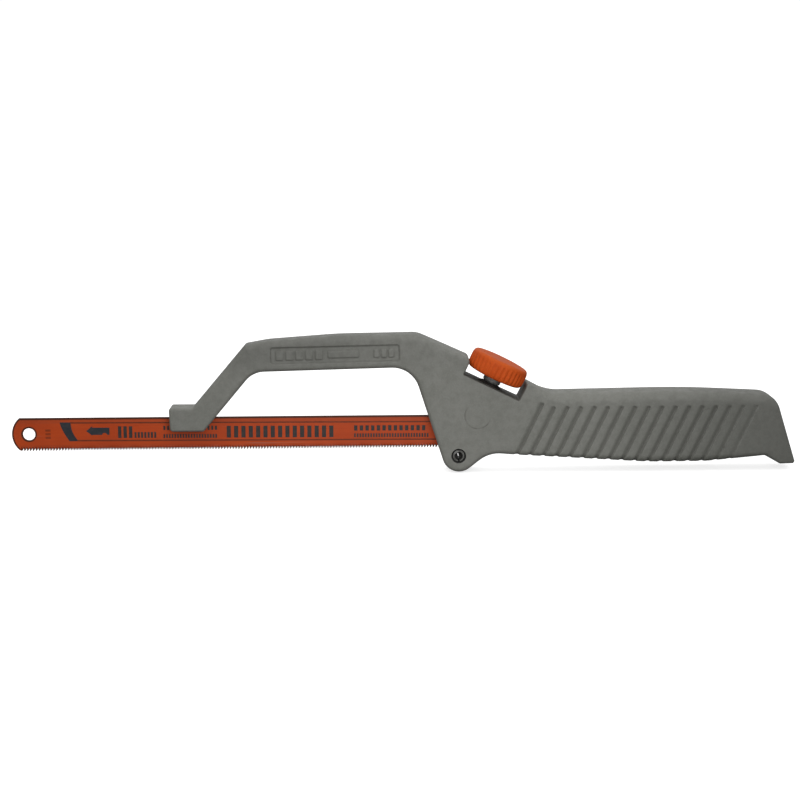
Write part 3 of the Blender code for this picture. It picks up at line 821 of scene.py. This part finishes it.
def add_flat_mark(builder, points_mm):
    """A thin closed slab on the front of the blade from an outline in mm."""
    loops = []
    pivot = Vector(PRINT_PIVOT)
    placed = [pivot + Matrix.Rotation(PRINT_TURN, 2) @ (Vector(p) - pivot) for p in points_mm]
    for y in (-BLADE_HALF - PRINT_THICKNESS, -BLADE_HALF + PRINT_THICKNESS):
        loops.append([builder.verts.new((p.x * MM, y, p.y * MM)) for p in placed])
    close_rings(builder, loops)


def band_outline(steps=12):
    """The slanted band: two curved sides between the border lines."""
    low, high = PRINT_LINES
    left = []
    right = []
    for step in range(steps + 1):
        share = step / steps
        z = high + 0.2 - share * (high - low + 0.4)
        left.append((-127.36 + 3.45 * share ** 1.43, z))
        right.append((-123.4 + 2.75 * share ** 2.1, z))
    return left + right[::-1]


def arrow_outline(steps=8):
    centre_x, centre_z = ARROW_FOOT
    half_x, half_z = ARROW_FOOT_HALF
    foot = []
    for step in range(steps + 1):
        angle = math.pi * step / steps
        foot.append((centre_x + half_x * math.cos(angle), centre_z + half_z * math.sin(angle)))
    return [*ARROW_HEAD, *foot, *ARROW_TAIL]


def add_bars(builder):
    for x_low, x_high, z_low, z_high, width, gap in PRINT_BARS:
        x = x_low
        while x + width <= x_high + 0.01:
            add_flat_mark(builder, box_outline(x, x + width, z_low, z_high))
            x += width + gap


def build_blade_print():
    """Two border lines, a slanted band, a cutting direction arrow and plain bars."""
    builder = bmesh.new()
    for z, start in zip(PRINT_LINES, PRINT_STARTS):
        line = box_outline(start, PRINT_END, z - PRINT_LINE_HALF, z + PRINT_LINE_HALF)
        add_flat_mark(builder, line)
    first_slate = len(builder.faces)
    add_flat_mark(builder, band_outline())
    add_flat_mark(builder, arrow_outline())
    first_bar = len(builder.faces)
    add_bars(builder)
    for index, face in enumerate(builder.faces):
        face.material_index = 1 if index < first_slate else 2 if index >= first_bar else 0
    ink = add_piece("blade_print", builder)
    dress(
        ink, "blade", None, "blade_paint",
        ink_material("slate_ink", (0.02, 0.024, 0.03, 1), (0.036, 0.034, 0.038, 1)),
        ink_material("brown_ink", (0.11, 0.02, 0.005, 1), (0.15, 0.03, 0.008, 1)),
        ink_material("black_ink", (0.026, 0.022, 0.021, 1), (0.046, 0.034, 0.03, 1)),
    )


# Clamp -----------------------------------------------------------------------------------

def pin_stations():
    """Distance along the pin, outer radius and bore radius, from one end to the other."""
    along, across = PIN_BEVEL
    half = (
        (PIN_HALF_LENGTH, PIN_RADIUS - across, PIN_BORE_RADIUS),
        (PIN_HALF_LENGTH - along, PIN_RADIUS, PIN_BORE_RADIUS),
        (PIN_WAIST + PIN_WAIST_SLOPE, PIN_RADIUS, PIN_BORE_RADIUS),
        (PIN_WAIST, PIN_RADIUS, PIN_WAIST_RADIUS),
    )
    return [(-y, wide, bore) for y, wide, bore in half] + list(half[::-1])


def build_cross_pin(steps=48):
    """A rolled spring pin: a slit tube with bevelled ends."""
    builder = bmesh.new()
    start = -math.pi / 2 + PIN_SPLIT / 2
    angles = [start + (2 * math.pi - PIN_SPLIT) * i / steps for i in range(steps + 1)]
    rings = []
    for y, wide, bore in pin_stations():
        outer, inner = [
            [builder.verts.new((PIN_X + r * math.cos(a), y, PIN_Z + r * math.sin(a))) for a in angles]
            for r in (wide, bore)
        ]
        rings.append(outer + inner[::-1])
    join_rings(builder, rings)
    for ring in (rings[0], rings[-1]):
        for i in range(steps):
            builder.faces.new((ring[i], ring[i + 1], ring[-2 - i], ring[-1 - i]))
    pin = add_piece("spring_pin", builder)
    dress(pin, "frame", "cross_pin", "spring_steel", pin_material())


def build_bush():
    builder = bmesh.new()
    join_rings(builder, [level_ring(builder, r * MM, height * MM, 64) for r, height in BUSH_SECTION])
    bush = add_piece("bush", builder, 25.0)
    bush.matrix_world = SCREW_PLACE
    steel = steel_material("bush_steel", (0.075, 0.07, 0.065), 0.42)
    dress(bush, "frame", "threaded_bush", "dark_steel", steel)


def build_pad():
    top = [on_screw_plane(PAD_HALF_LENGTH, PAD_TOP), on_screw_plane(-PAD_HALF_LENGTH, PAD_TOP)]
    slope = math.tan(SCREW_TILT)
    bottom_z = BLADE_BACK_Z - PAD_GRIP_DEPTH
    bottom = [(x - (z - bottom_z) * slope, bottom_z) for x, z in reversed(top)]
    pad = add_piece("pad", side_prism(top + bottom, PAD_HALF_WIDTH, bevel=0.35 * MM))
    slot = box_outline(10 * MM, 40 * MM, bottom_z - MM, BLADE_BACK_Z + GAP)
    boolean(pad, add_piece("pad_slot", side_prism(slot, SLOT_HALF_WIDTH)))
    fit = SCREW_TIP_RADIUS + GAP
    socket = turned([(fit, PAD_TOP + MM), (fit, SCREW_TIP - GAP)])
    socket.transform(SCREW_PLACE)
    boolean(pad, add_piece("pad_socket", socket))
    steel = steel_material("pad_steel", (0.11, 0.105, 0.1), 0.45)
    dress(pad, "clamp_pad", "clamp_pad", "dark_steel", steel)


def thread_radius(z, turn):
    """Radius of the shank at a height and a share of a turn: a thread that fades out at its ends."""
    above = z - SCREW_SHOULDER
    fade = smoothstep(0, 0.5 * MM, above) * (1 - smoothstep(0.9 * MM, 1.3 * MM, z))
    phase = (z / THREAD_PITCH - turn) % 1.0
    valley = 1 - abs(2 * phase - 1)
    radius = SCREW_RADIUS - fade * THREAD_DEPTH * smoothstep(0.1, 0.9, valley)
    return radius - (1 - smoothstep(0, 0.3 * MM, above)) * 0.3 * MM


def threaded_rod(steps=48):
    """The screw's shank: a helical thread between a plain neck and a turned tip."""
    builder = bmesh.new()
    tip = (
        (SCREW_TIP_RADIUS - TIP_BEVEL, SCREW_TIP),
        (SCREW_TIP_RADIUS, SCREW_TIP + TIP_BEVEL),
        (SCREW_TIP_RADIUS, SCREW_SHOULDER),
    )
    rings = [level_ring(builder, radius, z, steps) for radius, z in tip]
    for level in range(int((HEAD_BOTTOM + MM - SCREW_SHOULDER) / THREAD_STEP) + 1):
        z = SCREW_SHOULDER + level * THREAD_STEP
        ring = []
        for i in range(steps):
            radius = thread_radius(z, i / steps)
            angle = 2 * math.pi * i / steps
            ring.append(builder.verts.new((radius * math.cos(angle), radius * math.sin(angle), z)))
        rings.append(ring)
    close_rings(builder, rings)
    return builder


def hexagon_prism(flat_radius, z_low, z_high, bevel=0.0):
    corner = flat_radius / math.cos(math.pi / 6)
    top = [(corner, z_high - bevel), (corner - bevel, z_high)] if bevel else [(corner, z_high)]
    return turned([(corner, z_low)] + top, 6)


def build_screw():
    screw = add_piece("screw", threaded_rod(), 50.0)
    collar = turned([
        (COLLAR_RADIUS - COLLAR_BEVEL, HEAD_BOTTOM + 0.5 * MM),
        (COLLAR_RADIUS, HEAD_BOTTOM + 0.3 * MM),
        (COLLAR_RADIUS, COLLAR_BOTTOM + COLLAR_BEVEL),
        (COLLAR_RADIUS - COLLAR_BEVEL, COLLAR_BOTTOM),
    ])
    boolean(screw, add_piece("collar", collar), "UNION", 50.0)
    head = add_piece("head", hexagon_prism(HEAD_FLAT_RADIUS, HEAD_BOTTOM, HEAD_TOP, 0.5 * MM))
    boolean(screw, head, "UNION", 50.0)
    screw.matrix_world = SCREW_PLACE
    zinc = steel_material("screw_zinc", (0.26, 0.26, 0.25), 0.5)
    dress(screw, "knob", "clamp_screw", "screw_steel", zinc)


def build_knob():
    """Turned knob with rounded ribs round its side that fade into the top and bottom edges."""
    builder = bmesh.new()
    steps = KNOB_RIBS * RIB_STEPS
    rings = []
    for height, radius, share in KNOB_PROFILE:
        ring = []
        for i in range(steps):
            phase = (i % RIB_STEPS) / RIB_STEPS
            valley = (0.5 + 0.5 * math.cos(2 * math.pi * phase)) ** 1.3
            angle = 2 * math.pi * i / steps + RIB_TURN
            reach = radius * MM - valley * RIB_DEPTH * share
            place = (reach * math.cos(angle), reach * math.sin(angle), KNOB_BOTTOM + height * MM)
            ring.append(builder.verts.new(place))
        rings.append(ring)
    close_rings(builder, rings)
    knob = add_piece("knob", builder, 60.0)
    fit = HEAD_FLAT_RADIUS + PRESS_GAP
    pocket = hexagon_prism(fit, KNOB_BOTTOM - MM, HEAD_TOP + PRESS_GAP)
    boolean(knob, add_piece("pocket", pocket), "DIFFERENCE", 60.0)
    knob.matrix_world = SCREW_PLACE
    dress(knob, "knob", "clamp_knob", "knob_plastic", knob_material())


# Materials -------------------------------------------------------------------------------

class Shading:
    """Short ways to add the nodes that the materials share."""

    def __init__(self, name):
        self.material = bpy.data.materials.new(name)
        self.material.use_nodes = True
        self.tree = self.material.node_tree
        self.surface = self.tree.nodes["Principled BSDF"]
        self.place = self.add("ShaderNodeTexCoord").outputs["Object"]

    def add(self, kind, inputs=None, **settings):
        """A new node with these settings, and with values or sockets on its inputs."""
        node = self.tree.nodes.new(kind)
        for key, value in settings.items():
            setattr(node, key, value)
        for name, value in (inputs or {}).items():
            self.fill(node.inputs[name], value)
        return node

    def link(self, source, socket):
        self.tree.links.new(source, socket)

    def fill(self, socket, value):
        if hasattr(value, "is_output"):
            self.link(value, socket)
        else:
            socket.default_value = value

    def stretched(self, scale, turn=(0.0, 0.0, 0.0)):
        inputs = {"Vector": self.place, "Rotation": turn, "Scale": scale}
        return self.add("ShaderNodeMapping", inputs).outputs["Vector"]

    def noise(self, scale, detail=3.0, roughness=0.55, vector=None):
        inputs = {"Vector": vector or self.place, "Scale": scale, "Detail": detail, "Roughness": roughness}
        return self.add("ShaderNodeTexNoise", inputs).outputs["Fac"]

    def cells(self, scale):
        return self.add("ShaderNodeTexVoronoi", {"Vector": self.place, "Scale": scale}).outputs["Distance"]

    def ramp(self, value, low, high, out_low=0.0, out_high=1.0):
        """Maps low..high to out_low..out_high, smoothly and clamped."""
        inputs = {"Value": value, "From Min": low, "From Max": high, "To Min": out_low, "To Max": out_high}
        return self.add("ShaderNodeMapRange", inputs, interpolation_type="SMOOTHSTEP").outputs["Result"]

    def math(self, operation, first, second):
        return self.add("ShaderNodeMath", {0: first, 1: second}, operation=operation).outputs[0]

    def times(self, first, second):
        return self.math("MULTIPLY", first, second)

    def mix(self, share, first, second):
        inputs = {"Factor": share, "A": first, "B": second}
        return self.add("ShaderNodeMix", inputs, data_type="RGBA").outputs["Result"]

    def mix_surfaces(self, share, first, second):
        return self.add("ShaderNodeMixShader", {0: share, 1: first, 2: second}).outputs[0]

    def axis(self, name):
        return self.add("ShaderNodeSeparateXYZ", {0: self.place}).outputs[name]

    def distance_from(self, x, z):
        """Distance in the side view from a point, whatever y is."""
        kind = "ShaderNodeVectorMath"
        flat = self.add(kind, {0: self.place, 1: (1.0, 0.0, 1.0)}, operation="MULTIPLY")
        return self.add(kind, {0: flat.outputs[0], 1: (x, 0.0, z)}, operation="DISTANCE").outputs["Value"]

    def edges(self, radius, low, high):
        """1 along convex and concave edges within the radius, 0 on open faces."""
        bevel = self.add("ShaderNodeBevel", {"Radius": radius}, samples=6)
        geometry = self.add("ShaderNodeNewGeometry")
        normals = {0: bevel.outputs["Normal"], 1: geometry.outputs["Normal"]}
        dot = self.add("ShaderNodeVectorMath", normals, operation="DOT_PRODUCT")
        return self.ramp(dot.outputs["Value"], high, low)

    def bump(self, layers):
        """Stacks (height, strength, depth in metres) layers of relief."""
        inputs = {}
        for height, strength, depth in layers:
            inputs.update({"Height": height, "Strength": strength, "Distance": depth})
            inputs["Normal"] = self.add("ShaderNodeBump", inputs).outputs["Normal"]
        self.link(inputs["Normal"], self.surface.inputs["Normal"])

    def finish(self, colour, roughness, metallic=0.0, specular=0.5):
        self.fill(self.surface.inputs["Base Color"], colour)
        self.fill(self.surface.inputs["Roughness"], roughness)
        self.fill(self.surface.inputs["Metallic"], metallic)
        self.surface.inputs["Specular IOR Level"].default_value = specular
        return self.material


def ejector_mark_shadow(s):
    """A broken ring round the mark of an ejector pin, on its lower front side only: the mark is real, and
    its dark lower edge is painted shadow.
    """
    mark = s.distance_from(MARK_X, MARK_Z)
    inner = s.ramp(mark, MARK_RADIUS - 0.7 * MM, MARK_RADIUS)
    outer = s.ramp(mark, MARK_RADIUS + 0.25 * MM, MARK_RADIUS)
    ring = s.times(inner, outer)
    patchy = s.ramp(s.noise(260, 2), 0.35, 0.65, 0.2, 0.8)
    lower = s.math("ADD", s.axis("Z"), s.times(s.axis("X"), 0.5))
    middle = MARK_Z + MARK_X / 2
    return s.times(ring, s.times(patchy, s.ramp(lower, middle + 2.5 * MM, middle - 2 * MM)))


def cast_material():
    """Matte grey coating on a die casting, with worn edges, shade painted in the low places, and light
    painted to fall off towards the tail and the front of the arch.
    """
    s = Shading("cast_coating")
    cloudy = s.noise(45, 3)
    grain = s.noise(1500, 4, 0.7)
    coarse = s.noise(420, 3, 0.6)
    colour = s.mix(s.ramp(cloudy, 0.3, 0.7), (0.146, 0.149, 0.132, 1), (0.168, 0.17, 0.153, 1))
    colour = s.mix(s.ramp(grain, 0.3, 0.7, 0.0, 0.4), colour, (0.2, 0.2, 0.182, 1))
    colour = s.mix(s.ramp(coarse, 0.35, 0.75, 0.0, 0.25), colour, (0.1, 0.102, 0.088, 1))
    # Painted shade from the vertex layer: flutes, notch and label panel.
    painted_shade = s.add("ShaderNodeAttribute", attribute_name="painted_shade").outputs["Fac"]
    colour = s.mix(s.times(painted_shade, 0.47), colour, (0.05, 0.049, 0.04, 1))
    stain = s.ramp(s.noise(210, 4, 0.6), 0.7, 0.76)
    handled = s.ramp(s.axis("X"), 0.04, 0.06)
    stained = s.times(s.times(stain, handled), 0.5)
    colour = s.mix(stained, colour, (0.05, 0.048, 0.04, 1))
    speck = s.ramp(s.cells(75), 0.02, 0.011)
    colour = s.mix(s.times(speck, 0.35), colour, (0.34, 0.34, 0.32, 1))
    colour = s.mix(ejector_mark_shadow(s), colour, (0.085, 0.086, 0.072, 1))
    # Painted shade: darker towards the tail and towards the top of the front arch, as the studio light
    # falls off.
    rear = s.ramp(s.axis("X"), 0.06, 0.145, 0.0, 0.35)
    front = s.times(s.ramp(s.axis("Z"), 0.034, 0.044), s.ramp(s.axis("X"), 0.02, -0.05, 0.08, 0.26))
    colour = s.mix(s.math("MAXIMUM", rear, front), colour, (0.02, 0.02, 0.018, 1))
    worn = s.times(s.edges(0.00022, 0.93, 0.99), s.ramp(s.noise(500, 3), 0.35, 0.65, 0.05, 0.35))
    colour = s.mix(worn, colour, (0.25, 0.25, 0.235, 1))
    # Painted shade in the countersink round the cross pin.
    from_pin = s.distance_from(PIN_X, PIN_Z)
    hole = s.ramp(from_pin, COUNTERSINK_RADIUS + 0.05 * MM, COUNTERSINK_RADIUS - 0.1 * MM)
    colour = s.mix(hole, colour, (0.012, 0.012, 0.011, 1))
    s.bump(((s.noise(260, 3), 0.25, 0.0002), (grain, 0.35, 0.00006)))
    return s.finish(colour, s.ramp(coarse, 0.3, 0.7, 0.52, 0.7), 0.0, 0.35)


def orange_paint(s):
    """Orange enamel with streaks along the blade, duller above the upper border line.

    It is dark along the blade's back, round the hole and round the free end."""
    streaks = s.noise(90, 4, 0.6, s.stretched((0.25, 1.0, 9.0)))
    cloudy = s.noise(60, 3)
    colour = s.mix(s.ramp(cloudy, 0.3, 0.7), (0.385, 0.0465, 0.006, 1), (0.44, 0.056, 0.008, 1))
    colour = s.mix(s.ramp(streaks, 0.35, 0.75, 0.0, 0.3), colour, (0.31, 0.038, 0.01, 1))
    outside = s.ramp(s.axis("Z"), BLADE_BACK_Z - 2.4 * MM, BLADE_BACK_Z - 1.8 * MM, 0.0, 0.4)
    colour = s.mix(outside, colour, (0.29, 0.05, 0.016, 1))
    top = s.ramp(s.axis("Z"), BLADE_BACK_Z - 0.9 * MM, BLADE_BACK_Z - 0.5 * MM, 0.0, 0.96)
    colour = s.mix(top, colour, (0.045, 0.013, 0.006, 1))
    hole = s.distance_from(BLADE_TIP_X + HOLE_INSET, BLADE_MIDDLE_Z)
    rim = s.ramp(hole, HOLE_RADIUS + 0.75 * MM, HOLE_RADIUS + 0.5 * MM, 0.0, 0.9)
    colour = s.mix(rim, colour, (0.04, 0.013, 0.006, 1))
    nose = s.distance_from(BLADE_TIP_X + BLADE_END_RADIUS, BLADE_MIDDLE_Z)
    facing_out = s.ramp(s.axis("X"), BLADE_TIP_X + 3.5 * MM, BLADE_TIP_X + 2.5 * MM)
    end = s.ramp(nose, BLADE_END_RADIUS - 0.75 * MM, BLADE_END_RADIUS - 0.5 * MM, 0.0, 0.9)
    return s.mix(s.times(end, facing_out), colour, (0.04, 0.013, 0.006, 1))


def stamped_marks(s):
    """Three small pressed blocks between the hole and the print: 1 inside them, 0 elsewhere."""
    across = s.math("ABSOLUTE", s.math("SUBTRACT", s.axis("X"), STAMP_X), 0.0)
    share = s.ramp(across, 1.1 * MM, 0.8 * MM)
    cycle = s.math("PINGPONG", s.math("SUBTRACT", s.axis("Z"), STAMP_Z), STAMP_STEP / 2)
    share = s.times(share, s.ramp(cycle, 0.52 * MM, 0.3 * MM))
    along = s.math("ABSOLUTE", s.math("SUBTRACT", s.axis("Z"), STAMP_Z), 0.0)
    return s.times(share, s.ramp(along, STAMP_STEP * 1.5, STAMP_STEP * 1.45))


def blade_material():
    s = Shading("blade_enamel")
    colour = orange_paint(s)
    colour = s.mix(s.times(stamped_marks(s), 0.6), colour, (0.08, 0.02, 0.006, 1))
    scratch = s.ramp(s.noise(700, 2, 0.5, s.stretched((0.03, 1.0, 1.0))), 0.68, 0.74, 0.0, 0.3)
    colour = s.mix(scratch, colour, (0.25, 0.16, 0.12, 1))
    worn = s.times(s.edges(0.00012, 0.9, 0.99), 0.75)
    colour = s.mix(worn, colour, (0.1, 0.03, 0.014, 1))
    s.bump(((s.noise(900, 3, 0.6, s.stretched((0.2, 1.0, 1.0))), 0.2, 0.00003),))
    return s.finish(colour, s.ramp(s.noise(300, 3), 0.3, 0.7, 0.4, 0.55), 0.0, 0.2)


def tooth_material():
    """The same enamel, with slanted grinding marks, and darker flanks and tips of the teeth."""
    s = Shading("tooth_enamel")
    colour = orange_paint(s)
    slanted = s.stretched((3.0, 1.0, 0.2), (0.0, math.radians(35), 0.0))
    grinding = s.noise(420, 2, 0.5, slanted)
    colour = s.mix(s.ramp(grinding, 0.4, 0.7, 0.0, 0.25), colour, (0.25, 0.045, 0.02, 1))
    leaning = s.math("ADD", s.axis("X"), s.times(s.axis("Z"), 0.9))
    wave = s.math("SINE", s.times(leaning, 2 * math.pi / TOOTH_PITCH), 0.0)
    low = s.ramp(s.axis("Z"), BLADE_TOOTH_Z + 2.2 * MM, BLADE_TOOTH_Z + 1.5 * MM, 0.0, 0.35)
    hatch = s.times(s.ramp(wave, 0.0, 0.9), low)
    colour = s.mix(hatch, colour, (0.16, 0.03, 0.012, 1))
    start = s.math("SUBTRACT", s.axis("X"), BLADE_TIP_X + STRIP_INSET)
    beat = s.math("COSINE", s.times(start, 2 * math.pi / TOOTH_PITCH), 0.0)
    toothed = s.ramp(s.axis("Z"), BLADE_TOOTH_Z + 1.35 * MM, BLADE_TOOTH_Z + MM, 0.0, 0.9)
    flank = s.times(s.ramp(beat, -0.6, 0.6), toothed)
    colour = s.mix(flank, colour, (0.05, 0.012, 0.006, 1))
    tips = s.ramp(s.axis("Z"), BLADE_TOOTH_Z + 0.85 * MM, BLADE_TOOTH_Z + 0.5 * MM, 0.0, 0.92)
    colour = s.mix(tips, colour, (0.045, 0.012, 0.006, 1))
    s.bump(((grinding, 0.3, 0.00004),))
    return s.finish(colour, s.ramp(grinding, 0.3, 0.7, 0.42, 0.6), 0.0, 0.2)


def ink_material(name, darker, lighter):
    """Printed ink that lies unevenly on the enamel."""
    s = Shading(name)
    patchy = s.noise(800, 4, 0.7)
    colour = s.mix(s.ramp(patchy, 0.35, 0.75), darker, lighter)
    s.bump(((patchy, 0.2, 0.00002),))
    return s.finish(colour, s.ramp(patchy, 0.3, 0.7, 0.45, 0.6), 0.0, 0.25)


def knob_material():
    """Moulded nylon: fine grain, and the top painted lighter, as light falls on it, in patches like dust.
    """
    s = Shading("knob_nylon")
    cloudy = s.noise(130, 3)
    grain = s.noise(2200, 3, 0.6)
    colour = s.mix(s.ramp(cloudy, 0.3, 0.7), (0.44, 0.06, 0.006, 1), (0.5, 0.074, 0.009, 1))
    colour = s.mix(s.ramp(grain, 0.35, 0.7, 0.0, 0.3), colour, (0.36, 0.05, 0.01, 1))
    # Painted light on the top face, mottled like dust.
    on_top = s.ramp(s.axis("Z"), KNOB_BOTTOM + 5.4 * MM, KNOB_BOTTOM + 7.1 * MM)
    top_light_and_dust = s.ramp(s.noise(350, 4, 0.7), 0.3, 0.7, 0.15, 0.4)
    colour = s.mix(s.times(on_top, top_light_and_dust), colour, (0.46, 0.1, 0.016, 1))
    s.bump(((s.noise(500, 3), 0.15, 0.0001), (grain, 0.3, 0.00004)))
    return s.finish(colour, s.ramp(cloudy, 0.3, 0.7, 0.58, 0.7), 0.0, 0.12)


def steel_material(name, colour, roughness):
    """Machined steel with turning lines, a little oil and dark spots."""
    s = Shading(name)
    lines = s.noise(900, 3, 0.6, s.stretched((0.6, 0.6, 4.0)))
    spots = s.ramp(s.noise(1100, 4, 0.7), 0.62, 0.72, 0.0, 0.5)
    lighter = tuple(min(1.0, channel * 1.35) for channel in colour) + (1,)
    darker = tuple(channel * 0.65 for channel in colour) + (1,)
    shade = s.mix(s.ramp(lines, 0.3, 0.7), darker, lighter)
    shade = s.mix(spots, shade, (0.03, 0.025, 0.02, 1))
    s.bump(((lines, 0.25, 0.00004),))
    return s.finish(shade, s.ramp(lines, 0.3, 0.7, roughness, roughness + 0.2), 0.85, 0.5)


def pin_material():
    """Oiled spring steel, with painted shade in its bore and a painted highlight at one side of the bore.
    """
    s = Shading("pin_steel")
    spots = s.noise(900, 3)
    colour = s.mix(s.ramp(spots, 0.3, 0.7), (0.1, 0.1, 0.093, 1), (0.17, 0.17, 0.16, 1))
    # Painted shade in the bore.
    from_axis = s.distance_from(PIN_X, PIN_Z)
    bore = s.ramp(from_axis, PIN_BORE_RADIUS + 0.12 * MM, PIN_BORE_RADIUS + 0.02 * MM)
    colour = s.mix(bore, colour, (0.02, 0.02, 0.018, 1))
    # Painted highlight above the bore, towards the front.
    highlight_patch = s.ramp(s.distance_from(PIN_X - 0.8 * MM, PIN_Z + 1.2 * MM), 1.1 * MM, 0.7 * MM, 0.0, 0.6)
    colour = s.mix(highlight_patch, colour, (0.26, 0.26, 0.255, 1))
    return s.finish(colour, s.ramp(spots, 0.3, 0.7, 0.55, 0.7), 0.0, 0.15)


# Stage -----------------------------------------------------------------------------------

def build_camera():
    camera_data = bpy.data.cameras.new("camera")
    camera_data.lens = 85.0
    camera_data.sensor_width = 36.0
    camera_data.clip_start = 0.05
    camera_data.clip_end = 20.0
    camera = bpy.data.objects.new("camera", camera_data)
    bpy.context.scene.collection.objects.link(camera)
    level = math.cos(CAMERA_ELEVATION)
    back = Vector((
        -math.sin(CAMERA_AZIMUTH) * level,
        -math.cos(CAMERA_AZIMUTH) * level,
        math.sin(CAMERA_ELEVATION),
    ))
    camera.location = CAMERA_TARGET + back * CAMERA_DISTANCE
    camera.rotation_mode = "QUATERNION"
    turn = (-back).to_track_quat("-Z", "Y")
    camera.rotation_quaternion = turn @ Matrix.Rotation(CAMERA_ROLL, 3, "Z").to_quaternion()
    bpy.context.scene.camera = camera
    shift_only_here(camera)


def shift_only_here(camera):
    """Shifts the lens while the camera is in its own place; views from elsewhere stay centred."""
    driver = camera.data.driver_add("shift_x").driver
    driver.type = "SCRIPTED"
    variable = driver.variables.new()
    variable.name = "x"
    variable.type = "TRANSFORMS"
    variable.targets[0].id = camera
    variable.targets[0].transform_type = "LOC_X"
    driver.expression = f"{CAMERA_SHIFT} if abs(x - {camera.location.x:.6f}) < 0.0001 else 0.0"


def add_area_light(name, location, aim, size, power):
    light_data = bpy.data.lights.new(name, "AREA")
    light_data.shape = "RECTANGLE"
    light_data.size = size[0]
    light_data.size_y = size[1]
    light_data.energy = power
    light = bpy.data.objects.new(name, light_data)
    light.location = location
    light.rotation_mode = "QUATERNION"
    light.rotation_quaternion = (Vector(aim) - Vector(location)).to_track_quat("-Z", "Y")
    bpy.context.scene.collection.objects.link(light)


def build_lights():
    for soft_box in SOFT_BOXES:
        add_area_light(*soft_box)
    build_world()


def build_world():
    """White behind the saw, and round it a studio that is brighter overhead."""
    world = bpy.data.worlds.new("studio")
    bpy.context.scene.world = world
    world.use_nodes = True
    nodes = world.node_tree.nodes
    seen = nodes.new("ShaderNodeBackground")
    seen.inputs["Strength"].default_value = 1.05
    soft = nodes["Background"]
    for background in (seen, soft):
        background.inputs["Color"].default_value = (1.0, 1.0, 1.0, 1.0)
    place = nodes.new("ShaderNodeTexCoord")
    split = nodes.new("ShaderNodeSeparateXYZ")
    dome = nodes.new("ShaderNodeMapRange")
    dome.inputs["From Min"].default_value = 0.0
    dome.inputs["From Max"].default_value = 1.0
    dome.inputs["To Min"].default_value = HORIZON_LIGHT
    dome.inputs["To Max"].default_value = ZENITH_LIGHT
    path = nodes.new("ShaderNodeLightPath")
    choose = nodes.new("ShaderNodeMixShader")
    for source, socket in (
        (place.outputs["Generated"], split.inputs[0]),
        (split.outputs["Z"], dome.inputs["Value"]),
        (dome.outputs["Result"], soft.inputs["Strength"]),
        (path.outputs["Is Camera Ray"], choose.inputs[0]),
        (soft.outputs[0], choose.inputs[1]),
        (seen.outputs[0], choose.inputs[2]),
        (choose.outputs[0], nodes["World Output"].inputs["Surface"]),
    ):
        world.node_tree.links.new(source, socket)


def floor_material():
    """Pale matte paper that throws little light back up; from below the view passes through it."""
    s = Shading("floor_paper")
    fibre = s.noise(300, 4, 0.6)
    colour = s.mix(s.ramp(fibre, 0.3, 0.7), (0.6, 0.6, 0.597, 1), (0.64, 0.64, 0.637, 1))
    s.bump(((fibre, 0.1, 0.0001),))
    s.finish(colour, 0.9, 0.0, 0.2)
    s.surface.inputs["Emission Color"].default_value = (1.0, 1.0, 1.0, 1.0)
    s.surface.inputs["Emission Strength"].default_value = 0.7
    clear = s.add("ShaderNodeBsdfTransparent")
    dull = s.add("ShaderNodeBsdfDiffuse", {"Color": (0.12, 0.12, 0.12, 1.0)})
    path = s.add("ShaderNodeLightPath")
    geometry = s.add("ShaderNodeNewGeometry")
    seen = s.mix_surfaces(path.outputs["Is Camera Ray"], dull.outputs[0], s.surface.outputs[0])
    chosen = s.mix_surfaces(geometry.outputs["Backfacing"], seen, clear.outputs[0])
    s.link(chosen, s.tree.nodes["Material Output"].inputs["Surface"])
    return s.material


def build_floor():
    builder = bmesh.new()
    bmesh.ops.create_circle(builder, cap_ends=True, radius=FLOOR_RADIUS, segments=96)
    floor = add_piece("floor", builder)
    floor.location = (0.0, 0.0, CAD_BOX[0].z - FLOOR_GAP)
    floor.data.materials.append(floor_material())


def build():
    bpy.context.scene.view_settings.view_transform = "Standard"
    for step in (
        build_casting, build_cross_pin, build_bush, build_blade_back, build_tooth_strip, build_blade_print,
        build_pad, build_screw, build_knob, build_floor, build_lights, build_camera,
    ):
        step()


build()
